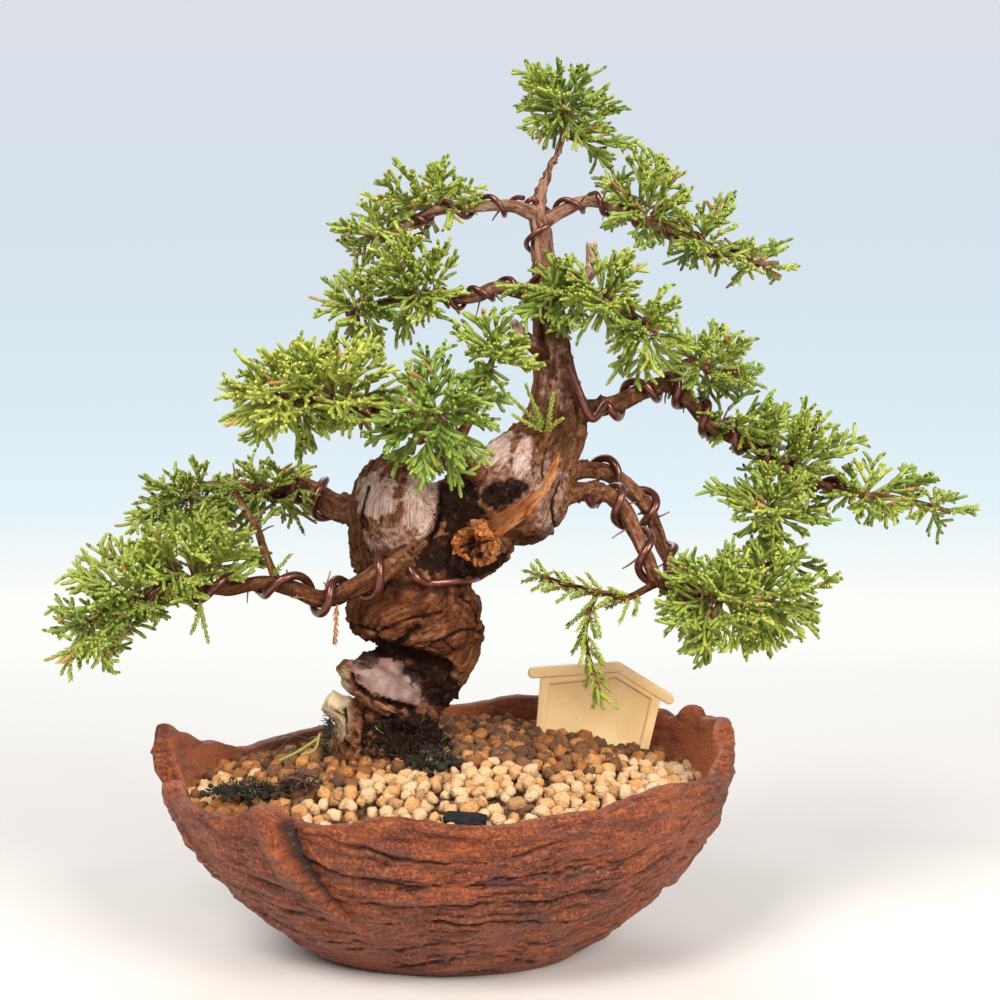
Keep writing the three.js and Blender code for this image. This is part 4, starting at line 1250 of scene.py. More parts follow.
# %% Bark finish
bark = Finish("old_bark", {"Roughness": 0.85, "Specular IOR Level": 0.12})
along_grain = bark.attribute("grain", "Vector")
east = bark.node("SeparateXYZ", {}, {0: bark.place}, output="X")
high = bark.node("SeparateXYZ", {}, {0: bark.place}, output="Z")
fibres = bark.noise(0.55, 7, along_grain, 0.68)
fine_fibres = bark.noise(2.2, 5, along_grain, 0.6)
flecks = bark.noise(0.5, 6)
bark_color = bark.ramp(fibres * 0.75 + flecks * 0.25, [
    (0.34, (0.030, 0.011, 0.006)),
    (0.44, (0.12, 0.042, 0.018)),
    (0.54, (0.25, 0.105, 0.045)),
    (0.64, (0.40, 0.215, 0.12)),
    (0.74, (0.52, 0.37, 0.27)),
])
flake_share = bark.between(high, 100, 94)
even = bark.noise(0.22, 5) * flake_share + fine_fibres * 0.5 * (1 - flake_share)
even = even + fibres * 0.5 * (1 - flake_share)
pale_color = bark.ramp(even, [
    (0.36, (0.23, 0.125, 0.085)),
    (0.46, (0.40, 0.250, 0.195)),
    (0.60, (0.64, 0.485, 0.43)),
])
pale_share = bark.attribute("pale") + (flecks - 0.5) * 1.1
pale_color = bark.mix(flake_share * 0.8, pale_color, shade(0.20, 0.135, 0.115), "MULTIPLY")
pale_color = bark.mix(flake_share * 0.2, pale_color, shade(0.42, 0.29, 0.28))
bark_color = bark.mix(bark.between(pale_share, 0.25, 0.85), bark_color, pale_color)
lobe_share = bark.between(high, 93, 98) * bark.between(high, 127, 121)
bark_color = bark.mix(lobe_share, bark_color, shade(0.66, 0.53, 0.44), "MULTIPLY")
green_share = bark.between(bark.noise(0.16, 4), 0.60, 0.72)
bark_color = bark.mix(green_share * 0.3, bark_color, shade(0.12, 0.12, 0.03))
knob_share = bark.between(east + fibres * 4, -28, -31.5) * bark.between(high, 95, 91)
knob_share = knob_share * bark.between(high + flecks * 12, 74, 84)
bark_color = bark.mix(knob_share * 0.8, bark_color, shade(0.62, 0.50, 0.29))
flaky_share = bark.between(high, 164, 176) * bark.between(high, 230, 212)
mottled = bark.between(bark.noise(0.35, 5, bark.stretched(1, 1, 0.5)), 0.46, 0.60)
bark_color = bark.mix(flaky_share * mottled * 0.7, bark_color, shade(0.070, 0.028, 0.017))
twig_share = bark.between(high, 200, 245) * bark.between(fibres, 0.35, 0.6)
bark_color = bark.mix(twig_share * 0.6, bark_color, shade(0.46, 0.28, 0.20))
# The dark marks take a near-black colour with specks of rust: rot, and painted shade in the clefts and
# sunk places.
dark_share = bark.between(bark.attribute("dark") + (fibres - 0.5) * 0.7, 0.25, 0.85)
rust_specks = bark.between(flecks, 0.55, 0.72)
rot_and_shade_color = bark.mix(rust_specks, shade(0.012, 0.005, 0.003), shade(0.10, 0.030, 0.012))
bark_color = bark.mix(dark_share * 0.96, bark_color, rot_and_shade_color)
rough_share = bark.attribute("pale") * (flake_share * 0.3 + 0.6) * -1 + 1
bark_height = (fibres * 0.8 + fine_fibres * 0.5) * rough_share + flecks * 0.3
bark_finish = bark.lay(bark_color, height=bark_height, depth=1.8)
hand_over("old_trunk", trunk_mesh, bark_finish, "bark", "trunk_and_branches")

# %% [markdown]
# ## Limbs
# Each limb is a disc pushed along its route, a millimetre and a bit at a time. Its bark swells
# and flakes in long plates, so the rings are moved in and out by the same terraces. The two sawn
# stubs turn pale towards their ends.


# %% Limbs
LIMB_STEP = 1.15
LIMB_SIDES = 16
LIMB_GRAIN_STRETCH = 0.16
SAWN_STUBS = ("top_stub", "torn_stub")


def limb_bark(grain, radius):
    terraces = steps_of(noise.noise(grain * 0.55) * 0.5 + 0.5, 4) - 0.5
    height = (0.5 + 0.16 * radius) * terraces
    height += 0.10 * radius * noise.noise(Vector((0, 0, grain.z * 0.5)) + grain * 0.08)
    return height + 0.16 * noise.noise(grain * 1.6)


def add_limb(bm, name, route):
    """A limb with bark. Its grain is measured round and along the limb."""
    grain_layer = bm.verts.layers.float_vector["grain"]
    dark_layer, pale_layer = bm.verts.layers.float["dark"], bm.verts.layers.float["pale"]
    length = route_length(route)
    offset = Vector((17 * len(name), 5 * route[0][0], 0))
    rings = add_tube(bm, route, LIMB_SIDES, max(int(length / LIMB_STEP), 6))
    for verts, (share, place, _, across, side, radius) in rings:
        for vert in verts:
            out = (vert.co - place).normalized()
            round_x, round_y = out.dot(across) * radius, out.dot(side) * radius
            grain = Vector((round_x, round_y, share * length * LIMB_GRAIN_STRETCH)) + offset
            height = limb_bark(grain, radius)
            vert.co += out * height
            vert[grain_layer] = grain
            # Painted shade: the sunk places between the bark plates are darkened.
            vert[dark_layer] = smooth_step(-height, 0.1, 0.6 + 0.1 * radius) * 0.8
            vert[pale_layer] = 0.25 + 0.5 * smooth_step(height, 0.0, 0.6) * noise.noise(grain * 0.3)
            if name in SAWN_STUBS:
                vert[pale_layer] = smooth_step(share, 0.2, 0.5) * 1.2


def bark_mesh():
    bm = bmesh.new()
    bm.verts.layers.float_vector.new("grain")
    bm.verts.layers.float.new("dark")
    bm.verts.layers.float.new("pale")
    return bm


bm = bark_mesh()
for name, route in ROUTES.items():
    add_limb(bm, name, route)
bmesh.ops.recalc_face_normals(bm, faces=bm.faces)
hand_over("limbs", to_mesh(bm, "limbs"), bark_finish, "bark", "trunk_and_branches")

# %% [markdown]
# ## Training wire
# The wire is anodised aluminium, about three millimetres thick on the heavy limbs and two on the
# thin ones. It is wound at an even slope and lies on the bark. A wire needs a hold before it can
# bend a limb: one goes round the neck of the trunk first, and two others start on the trunk.

# %% Training wire
# Shares of the route where it starts and ends, turns, start of the turn, radius.
WIRES = {
    "lower_left": (0.11, 0.82, -4.5, 0.55, 1.4),
    "upper_left_low": (0.22, 0.66, 3, 0.6, 1.4),
    "front": (0.2, 0.62, 3, 0, 1.4),
    "upper_left": (0.16, 0.7, 3, 0.3, 0.9),
    "top_left": (0.1, 0.72, 3.5, 0.5, 0.9),
    "top_right": (0.1, 0.9, 6, 0.2, 0.9),
    "centre": (0.26, 0.72, 2.5, 0.4, 0.9),
    "right_mid": (0.1, 0.76, 7, 0.7, 1.4),
    "right_low_back": (0.1, 0.62, 3, 0.2, 1.4),
    "right_low_front": (0.1, 0.8, 3.5, 0.8, 1.4),
}
TRUNK_WIND = (0.73, 0.845, 2.3, 0.1)
RIGHT_MID_LEAD = [Vector((39.5, -7.5, 192)), Vector((42.5, -9, 183)), Vector((47, -7, 174.5))]
LOWER_LEFT_LEAD = [Vector((-9.5, -18.5, 123.5)), Vector((-12, -17, 127)), Vector((-14.5, -12, 131))]
TURN_STEPS = 28
NECK_STEPS = 24
WIRE_CLEARANCE = 0.15
NECK = Vector((-10, 2))
NECK_REACH = Vector((20.6, 18.6))


def wound(route, first, last, turns, start, wire_radius):
    """A helix on a route. Turns below zero wind it the other way round."""
    points = []
    steps = round(abs(turns) * TURN_STEPS)
    frames = frames_on(route, first, last, steps)
    for step, (_, place, _, across, side, radius) in enumerate(frames):
        turn = 2 * math.pi * (start + turns * step / steps)
        reach = radius + wire_radius + WIRE_CLEARANCE
        points.append(place + across * math.cos(turn) * reach + side * math.sin(turn) * reach)
    return points


def round_the_neck():
    """The wire's hold: behind the neck of the trunk from the right, and out in front again."""
    points = []
    for step in range(NECK_STEPS + 1):
        turn = math.radians(blend(120, -80, step / NECK_STEPS))
        plan = NECK + Vector((NECK_REACH.x * math.cos(turn), NECK_REACH.y * math.sin(turn)))
        points.append(Vector((*plan, blend(125, 121.5, step / NECK_STEPS))))
    return points


def through(points, steps):
    """A smooth line through a few points."""
    route = [(*point, 1) for point in points]
    return [on_route(route, step / steps)[0] for step in range(steps + 1)]


def wire_mesh(name, points, wire_radius):
    curve = bpy.data.curves.new(name, "CURVE")
    curve.dimensions = "3D"
    curve.bevel_depth = wire_radius
    curve.bevel_resolution = 4
    curve.use_fill_caps = True
    line = curve.splines.new("POLY")
    line.points.add(len(points) - 1)
    for point, place in zip(line.points, points):
        point.co = (*place, 1)
    return mesh_of(curve)


# %% Wind the wires
wire_coat = {"Metallic": 0.75, "Coat Weight": 0.35, "Coat Roughness": 0.2}
anodised = Finish("anodised_wire", wire_coat)
wear = anodised.noise(0.6, 4)
wire_color = anodised.ramp(wear, [(0.35, (0.11, 0.034, 0.022)), (0.7, (0.21, 0.068, 0.042))])
wire_finish = anodised.lay(wire_color, 0.24 + wear * 0.2, anodised.noise(1.5, 2), 0.05)
for name, (first, last, turns, start, wire_radius) in WIRES.items():
    points = wound(ROUTES[name], first, last, turns, start, wire_radius)
    if name == "lower_left":
        neck = round_the_neck()
        points = neck + through([neck[-1], *LOWER_LEFT_LEAD, points[0]], 40)[1:] + points[1:]
    if name == "right_mid":
        points = through([*RIGHT_MID_LEAD, points[0]], 30) + points[1:]
    if name == "top_right":
        down_trunk = wound(TRUNK_ROUTE, *TRUNK_WIND, wire_radius)
        points = down_trunk + through([down_trunk[-1], points[0]], 6)[1:] + points[1:]
    wire = wire_mesh(name, points, wire_radius)
    hand_over("wire_" + name, wire, wire_finish, "training_wire", "wire_" + name)

# %% [markdown]
# ## Foliage cords
# A juniper's adult leaves are scales pressed flat on the twig, so every shoot is a green cord
# little more than a millimetre thick with a blunt tip. Each cord is a five-sided disc pushed out
# six times, in and out with the scales, and bent a little. The cords differ only in their bend.
# A few shoots carry young foliage instead: short sharp needles that stand off a thin stem.

# %% Cords, needles and twigs
# Rings are (share of the length, share of the width).
CORD_RINGS = [(0, 0.8), (0.2, 1), (0.4, 0.9), (0.62, 1), (0.84, 0.95), (0.95, 0.78), (1, 0.5)]
NEEDLE_RINGS = [(0, 0.7), (0.45, 1), (1, 0.12)]
TWIG_RINGS = [(0, 1), (0.35, 0.85), (0.7, 0.7), (1, 0.5)]


def pushed_out(name, sides, rings, bend, kink=0.0):
    """A little cord one unit long: rings of a given width, bent to one side."""
    bm = bmesh.new()
    bmesh.ops.create_circle(bm, cap_ends=True, segments=sides, radius=rings[0][1])
    bm.faces.ensure_lookup_table()
    cap = bm.faces[0]
    along, width = rings[0]
    for next_along, next_width in rings[1:]:
        grown = bmesh.ops.extrude_face_region(bm, geom=[cap])["geom"]
        cap = only(bmesh.types.BMFace, grown)[0]
        shrink = Matrix.Diagonal((next_width / width, next_width / width, 1, 1))
        lift = Matrix.Translation((0, 0, next_along - along))
        bmesh.ops.transform(bm, matrix=lift @ shrink, verts=cap.verts)
        along, width = next_along, next_width
    for vert in bm.verts:
        vert.co.x += bend * vert.co.z**2 + kink * math.sin(vert.co.z * 5)
    bmesh.ops.recalc_face_normals(bm, faces=bm.faces)
    mesh = to_mesh(bm, name)
    age = mesh.attributes.new("age", "FLOAT", "POINT")
    age.data.foreach_set("value", [vert.co.z for vert in mesh.vertices])
    for field in ("tone", "youth"):
        mesh.attributes.new(field, "FLOAT", "POINT")
    return mesh


CORD_BENDS = (-1.9, -1.1, -0.4, 0.3, 1.0, 1.8)
CORDS = [pushed_out(f"cord_{bend}", 5, CORD_RINGS, bend) for bend in CORD_BENDS]
NEEDLE = pushed_out("needle", 4, NEEDLE_RINGS, 0.4)
TWIGS = [pushed_out(f"twig_{bend}", 5, TWIG_RINGS, bend, 0.4) for bend in (-3, 0.5, 3)]
print("faces of a cord", len(CORDS[0].polygons), "of a needle", len(NEEDLE.polygons))


def along_way(start, way, width, roll):
    """Stands a unit cord at a start so that it reaches along a way."""
    turn = way.to_track_quat("Z", "Y").to_matrix().to_4x4() @ Matrix.Rotation(roll, 4, "Z")
    return Matrix.Translation(start) @ turn @ Matrix.Diagonal((width, width, way.length, 1))


# %% [markdown]
# ## Growing a spray
# A spray is a flat fan. Three cords in line make its axis, side shoots leave it left and right
# at twenty to forty degrees, shorter towards the tip, and most side shoots fork again. Every
# cord has a tone, from dark to light green, and a tone of one means that it is dead.

# %% Sprays
CORD_RADIUS = 0.65
STEM_RADIUS = 0.42
NEEDLE_RADIUS = 0.32
NEEDLE_LENGTH = 2.3
NEEDLE_SPACING = 0.42
NEEDLE_TURN = 2.4  # radians from one needle to the next, so that they stand off all round
LIGHTEST_LIVE_TONE = 0.9
ANY_TURN = 6.28
LONGEST_SIDE_SHOOT = 12


class Leaves:
    """The cords of one foliage pad."""

    def __init__(self, seed):
        self.rolls = random.Random(seed)
        self.heap = Heap("age", "youth")

    def cord(self, start, way, width, youth, tone):
        rolls = self.rolls
        place = along_way(start, way, width * rolls.uniform(0.9, 1.1), rolls.uniform(0, ANY_TURN))
        dead = tone == 1 or rolls.random() < 0.02
        tone = 1 if dead else min(max(tone + rolls.gauss(0, 0.12), 0), LIGHTEST_LIVE_TONE)
        self.heap.add(CORDS[rolls.randrange(len(CORDS))], place, tone=tone, youth=youth)

    def off_to_side(self, way, across, low, high):
        """A direction that leaves way towards across, by an angle from low to high degrees."""
        angle = math.radians(self.rolls.uniform(low, high))
        out = way.normalized() * math.cos(angle) + across * math.sin(angle)
        return (out + jog(self.rolls, 0.14)).normalized()

    def spray(self, start, tip, flat_normal, tone):
        rolls = self.rolls
        way = tip - start
        across = flat_normal.cross(way).normalized()
        bow = across * rolls.gauss(0, 1) + flat_normal * rolls.gauss(0.5, 0.7)
        joints = [start, start + way * 0.36 + bow * 0.8, start + way * 0.7 + bow, tip]
        for youth, (low, high) in zip((0.1, 0.6, 1), zip(joints, joints[1:])):
            self.cord(low, (high - low) * 1.06, CORD_RADIUS, youth, tone)
        count = 3 + int(way.length / 5.5)
        hand = rolls.choice((-1, 1))
        for index in range(count):
            share = 0.2 + 0.66 * index / (count - 1)
            hand = -hand
            foot = start + way * share + bow * math.sin(share * 3)
            reach = way.length * (1.15 - share) * rolls.uniform(0.45, 0.72) + 2.4
            reach = min(reach, LONGEST_SIDE_SHOOT)
            side_way = self.off_to_side(way, across * hand, 22, 42) * reach
            self.cord(foot, side_way, CORD_RADIUS * 0.95, 0.85, tone)
            for other in (hand, -hand)[: 2 if reach > 7 else rolls.choice((0, 1, 1))]:
                fork = foot + side_way * rolls.uniform(0.35, 0.6)
                fork_way = self.off_to_side(side_way, across * other, 20, 38)
                self.cord(fork, fork_way * rolls.uniform(3, 5.6), CORD_RADIUS * 0.9, 1, tone)

    def needled(self, start, tip, tone):
        """A shoot of young foliage: a thin stem with needles standing off all round."""
        rolls = self.rolls
        way = tip - start
        self.cord(start, way, STEM_RADIUS, 0.5, tone)
        across = way.orthogonal().normalized()
        for step in range(int(way.length / NEEDLE_SPACING)):
            share = 0.06 + 0.92 * step * NEEDLE_SPACING / way.length
            turn = Matrix.Rotation(step * NEEDLE_TURN + rolls.gauss(0, 0.3), 3, way)
            spread = blend(0.85, 0.35, share)
            out = (way.normalized() + turn @ across * spread).normalized()
            reach = NEEDLE_LENGTH * rolls.uniform(0.75, 1.15) * blend(1, 0.7, share)
            foot = start + way * share
            place = along_way(foot, out * reach, NEEDLE_RADIUS, rolls.uniform(0, ANY_TURN))
            needle_tone = 1
            if tone != 1:
                needle_tone = min(tone + rolls.uniform(-0.15, 0.15), LIGHTEST_LIVE_TONE)
            self.heap.add(NEEDLE, place, tone=needle_tone, youth=0.8)

    def needled_spray(self, start, tip, flat_normal, tone):
        way = tip - start
        across = flat_normal.cross(way).normalized()
        self.needled(start, tip, tone)
        for index in range(3):
            hand = (-1) ** index
            share = 0.25 + 0.2 * index
            side_way = self.off_to_side(way, across * hand, 28, 45)
            foot = start + way * share
            self.needled(foot, foot + side_way * way.length * (0.75 - 0.5 * share), tone)


print("a cord is", 2 * CORD_RADIUS, "mm thick")


# %% [markdown]
# ## Pads
# The grower thins the twigs so that each limb ends in a rounded pad. A pad is one to three balls
# of sprays: every spray starts near the limb and ends about at the skin of its ball, and a few
# run on past it. Thin brown twigs join their feet to the nearest limb, and short bare ones stand
# on the limbs where foliage died back. The pad in the middle of the front is painted the darkest
# green, as shade, and the one to the left of it the lightest, as painted light.

# %% Pads of foliage
# Middle, half sizes, how far the shoots lean towards (x, z).
PADS = {
    "apex": [((37, 0, 277.5), (17, 17, 14), (0, 0.3)), ((52, 4, 266), (9, 10, 11), (0.3, 0))],
    "top_left": [
        ((-4, -6, 246), (16, 17, 12), (-0.2, 0.2)), ((-22, -6, 235), (13, 17, 11), (-0.4, 0)),
    ],
    "top_right": [
        ((66, 6, 247), (15, 17, 16), (0.1, 0.3)), ((85, 6, 235), (15, 16, 12), (0.3, 0.1)),
        ((102, 8, 228), (12, 12, 8), (0.5, 0)),
    ],
    "upper_left": [
        ((-9, -10, 217), (15, 19, 15), (-0.2, 0.2)), ((-28, -8, 211), (13, 18, 12), (-0.4, 0)),
    ],
    "centre": [
        ((32, -22, 212), (14, 15, 12), (-0.2, 0.2)), ((49, -26, 211), (14, 17, 14), (0.1, 0.3)),
        ((61, -26, 199), (13, 17, 14), (0.4, 0)),
    ],
    "front_left": [
        ((-47, -45, 178), (16, 24, 17), (-0.4, 0.1)), ((-29, -45, 182), (17, 26, 16), (-0.1, 0.3)),
    ],
    "front": [((-2, -64, 171), (17, 22, 19), (0, 0.1))],
    "front_riser": [((15, -46, 189), (12, 15, 14), (0.2, 0.4))],
    "upper_left_low": [
        ((-63, 18, 149), (21, 22, 12), (-0.1, 0.2)), ((-86, 14, 145), (19, 24, 14), (-0.4, 0)),
    ],
    "lower_left": [
        ((-80, -22, 131), (19, 25, 13), (-0.1, 0.3)), ((-99, -22, 121), (18, 25, 15), (-0.2, 0)),
        ((-111, -22, 109), (14, 20, 13), (-0.2, -0.3)),
    ],
    "right_inner": [
        ((84, 4, 193), (16, 18, 15), (0, 0.4)), ((97, 6, 179), (16, 20, 17), (0.3, 0.1)),
    ],
    "right_mid": [((115, 6, 165), (17, 20, 15), (0.3, 0.1))],
    "right_outer": [
        ((139, 4, 150), (19, 15, 10), (0.4, 0.2)), ((160, 4, 145), (13, 10, 7), (0.5, 0)),
    ],
    "right_low_upper": [((105, 0, 144), (18, 20, 15), (0, 0.3))],
    "right_low": [
        ((85, -16, 114), (18, 24, 20), (0, -0.1)), ((105, -6, 119), (18, 20, 20), (0.3, 0)),
    ],
    "right_hang": [],  # no balls: its shoots are hung on the twig, one by one, further on
}
SPRAY_AREA = 138  # square millimetres of a pad's skin for each spray
LONGEST_SPRAY = 21
SHORTEST_TWIG = 1.5
# Exponent of a well-known rule of thumb for the area of a stretched ball.
AREA_POWER = 1.6
PAD_SEED = 100
USUAL_TONE = 0.42
NEEDLED_SHARE = {
    "right_inner": 0.5, "right_mid": 0.35, "centre": 0.15, "upper_left_low": 0.2, "lower_left": 0.12,
}
# The front pad's low tone is painted shade, and the front-left pad's high tone painted light.
PAD_TONES_AND_LIGHT = {
    "front": 0.1, "apex": 0.3, "front_left": 0.72, "lower_left": 0.45, "upper_left_low": 0.5,
}
LIMB_SPOTS = []
for route in (TRUNK_ROUTE[18:], *ROUTES.values()):
    frames = frames_on(route, 0, 1, int(route_length(route) / 3))
    LIMB_SPOTS += [place for _, place, _, _, _, _ in frames]
print("pads", len(PADS), "places on limbs", len(LIMB_SPOTS))


# %% Balls of sprays
def ball_area(half_sizes):
    a, b, c = (size**AREA_POWER for size in half_sizes)
    return 4 * math.pi * ((a * b + a * c + b * c) / 3) ** (1 / AREA_POWER)


def ball_directions(count, rolls):
    """Directions spread evenly over a ball, then jogged."""
    golden = math.pi * (3 - math.sqrt(5))
    for index in range(count):
        height = 1 - 2 * (index + 0.5) / count
        ring = math.sqrt(1 - height**2)
        turn = golden * index
        way = Vector((ring * math.cos(turn), ring * math.sin(turn), height))
        yield (way + jog(rolls, 0.2)).normalized()


twig_heap = Heap("age", "youth")
twig_rolls = random.Random(5)


def add_twig(start, end, width):
    place = along_way(start, end - start, width, twig_rolls.uniform(0, ANY_TURN))
    tone = twig_rolls.random()
    twig_heap.add(TWIGS[twig_rolls.randrange(len(TWIGS))], place, tone=tone, youth=0)


def nearest_on_limb(root, tip):
    """The place on a limb that a spray's twig comes from. It may lie a little towards the tip."""

    def cost(spot):
        return (spot - root).length_squared + 0.3 * (spot - tip).length_squared

    return min(LIMB_SPOTS, key=cost)


def grow_ball(leaves, middle, half_sizes, lean, tone, needled_share):
    """Sprays that start near the limb and end at the skin of a ball."""
    rolls = leaves.rolls
    middle = Vector(middle)
    count = round(ball_area(half_sizes) / SPRAY_AREA)
    for way in ball_directions(count, rolls):
        out = on_ball(way, half_sizes)
        reach = rolls.uniform(0.78, 1.02) if rolls.random() < 0.75 else rolls.uniform(1.05, 1.25)
        tip = middle + out * reach + Vector((lean[0], 0, lean[1])) * rolls.uniform(1, 6)
        root = middle + out * rolls.uniform(-0.1, 0.3)
        near = nearest_on_limb(root, tip)
        foot = root.lerp(near, rolls.uniform(0.35, 0.9))
        if (tip - foot).length > LONGEST_SPRAY:
            foot = tip + (foot - tip).normalized() * rolls.uniform(0.75, 1) * LONGEST_SPRAY
        flat = Vector((rolls.gauss(0, 0.5), rolls.gauss(0, 0.5) - 0.3, 1)).normalized()
        spray_tone = tone + rolls.gauss(0, 0.16)
        if rolls.random() < needled_share:
            leaves.needled_spray(foot, tip, flat, spray_tone)
        else:
            leaves.spray(foot, tip, flat, spray_tone)
        if (foot - near).length > SHORTEST_TWIG:
            add_twig(near, foot + (tip - foot) * 0.12, rolls.uniform(0.4, 0.75))
    return count


# %% Bare twigs, then the pads
for name, route in ROUTES.items():
    frames = frames_on(route, 0.15, 0.95, int(route_length(route) / 5))
    for _, place, tangent, across, side, radius in frames:
        turn = twig_rolls.uniform(0, ANY_TURN)
        way = tangent * twig_rolls.uniform(-0.3, 0.9) + across * math.cos(turn) + side * math.sin(turn)
        if name not in SAWN_STUBS and twig_rolls.random() < 0.6:
            end = place + way.normalized() * (radius + twig_rolls.uniform(1, 7))
            add_twig(place, end, twig_rolls.uniform(0.35, 0.7))
leaf_total = 0
leaf_pieces = {}
for number, (name, balls) in enumerate(PADS.items()):
    leaves = Leaves(PAD_SEED + number)
    tone = PAD_TONES_AND_LIGHT.get(name, USUAL_TONE)
    share = NEEDLED_SHARE.get(name, 0)
    leaf_total += sum(grow_ball(leaves, *ball, tone, share) for ball in balls)
    leaf_pieces[name] = leaves
print("sprays", leaf_total)

# %% [markdown]
# ## Loose shoots
# The twig that hangs over the label carries young needled foliage, and a few such shoots grow
# straight from old wood, as they do after hard pruning.

# %% Needled shoots
hanging = leaf_pieces["right_hang"]
for name, stations in (("right_hang", 11), ("right_hang_down", 9)):
    frames = frames_on(ROUTES[name], 0.15, 1, stations)
    for step, (share, place, tangent, across, side, _) in enumerate(frames):
        for hand in (-1, 1):
            turn = step * 2.1 + hand * 1.3
            out = across * math.cos(turn) + side * math.sin(turn)
            way = (tangent * 0.9 + out * 0.8 + Vector((0, -0.1, -0.25))).normalized()
            reach = blend(11, 7, share) * hanging.rolls.uniform(0.8, 1.2)
            hanging.needled(place, place + way * reach, hanging.rolls.uniform(0.45, 0.85))
    hanging.needled(place, place + tangent * 6, 0.6)
# Pad that holds them, foot, tip, tone.
LOOSE_SHOOTS = [
    ("front_riser", (31, -11, 171), (19, -19, 182), 0.55),
    ("front_riser", (31, -12, 171), (25, -20, 185), 0.5),
    ("front_riser", (31, -12, 170), (21, -21, 175), 0.7),
    ("front_riser", (32, -12, 171), (34, -20, 182), 0.6),
    ("front_riser", (31, -12, 170), (37, -20, 174), 0.95),
    ("front_riser", (30, -12, 170), (28, -22, 178), 0.45),
    ("lower_left", (-34, -24, 115.5), (-34.5, -25, 103), 1),
    ("lower_left", (-78, -20, 116), (-75, -21, 103), 0.6),
    ("lower_left", (-77, -20, 116), (-80, -22, 106), 0.6),
    ("lower_left", (-55, -20, 124), (-49, -21, 131), 0.4),
]
for name, foot, tip, tone in LOOSE_SHOOTS:
    leaf_pieces[name].needled(Vector(foot), Vector(tip), tone)
for name, leaves in leaf_pieces.items():
    print(name, len(leaves.heap.bm.faces), "faces")

# %% [markdown]
# ## Foliage finish
# Yellow-green at the growing tips, a deeper green behind them and rust brown on the odd dead
# shoot. A waxy bloom keeps the gloss soft.

# %% Foliage finish
leaf = Finish("juniper_scales", {"Roughness": 0.55, "Specular IOR Level": 0.35})
age = leaf.attribute("age")
tone = leaf.attribute("tone")
young = leaf.between(age * leaf.attribute("youth") + leaf.noise(0.12, 2) * 0.4 - 0.2, 0.05, 0.95)
old_green = leaf.mix(tone, shade(0.105, 0.170, 0.016), shade(0.35, 0.39, 0.055))
new_green = leaf.mix(tone, shade(0.19, 0.28, 0.036), shade(0.46, 0.49, 0.090))
leaf_color = leaf.mix(young, old_green, new_green)
dead = leaf.between(tone, 0.94, 0.98)
leaf_color = leaf.mix(dead, leaf_color, shade(0.42, 0.20, 0.08))
woody = leaf.between(age * 0.5 + leaf.attribute("youth"), 0.42, 0.18)
leaf_color = leaf.mix(woody * 0.8, leaf_color, shade(0.20, 0.12, 0.05))
leaf_finish = leaf.lay(leaf_color)
twig_maker = Finish("twig_bark", {"Roughness": 0.75, "Specular IOR Level": 0.3})
twig_tone = twig_maker.attribute("tone")
twig_color = twig_maker.mix(twig_tone, shade(0.11, 0.05, 0.03), shade(0.34, 0.19, 0.11))
twig_fibres = twig_maker.noise(1.4, 4)
twig_finish = twig_maker.lay(twig_color, height=twig_fibres, depth=0.3)
for name, leaves in leaf_pieces.items():
    mesh = to_mesh(leaves.heap.bm, "leaves_" + name)
    hand_over("leaves_" + name, mesh, leaf_finish, "juniper_foliage", "foliage_" + name)
hand_over("twigs", to_mesh(twig_heap.bm, "twigs"), twig_finish, "bark")

# %% [markdown]
# ## Torn wood
# A branch was twisted off the front of the trunk. It left a short ragged tube of orange heartwood
# and a strip that peeled up over the swelling. The tube is a grid rolled up, out along the stub,
# over a torn edge and back down into the hollow.

# %% Torn stub and strip
STUB_FOOT = Vector((10, -13, 134.5))
STUB_WAY = Vector((-0.28, -1, -0.22)).normalized()
STUB_TURNS = 72
STUB_ROWS = 18
STUB_EDGE = 10  # the row that lies on the torn edge
STUB_LENGTH = 6.5
STUB_GRAIN_STRETCH = 0.75
STRIP_FLATNESS = 0.26
# Each station is (x, y, z, radius).
STRIP_ROUTE = [
    (11, -13, 137, 3), (16, -16.5, 140, 4.2), (21, -17.5, 143, 3.9), (26, -17.5, 147.5, 3),
    (31, -16, 153, 2.4), (34, -14.5, 158, 1.5), (35.5, -13.5, 163, 0.4),
]


def stub_point(turn, row):
    """The radius, the way out along the stub and the depth in its hollow."""
    ragged = 6 * ring_wobble(turn, 1.2, 1)
    ragged += 2 * ring_wobble(turn, 2.3, 4)
    ragged += ring_wobble(turn, 8, 7)
    edge = STUB_LENGTH + ragged
    lopsided = 2.4 * ring_wobble(turn, 1.1, 5)
    if row <= STUB_EDGE:
        share = row / STUB_EDGE
        radius = blend(7.4, 6.2, share) + lopsided
        radius += 1.2 * ring_wobble(turn, 1.9, share * 1.5)
        return radius, blend(-2, edge, share), 0
    share = (row - STUB_EDGE) / (STUB_ROWS - STUB_EDGE)
    uneven = ring_wobble(turn, 3, 1.5 + share * 2)
    radius = (4.6 + 0.8 * lopsided) * (1 - share**1.8) + 1.1 * (1 - share) * uneven
    return radius, edge - (5.5 + 2.5 * uneven) * share**0.8, share


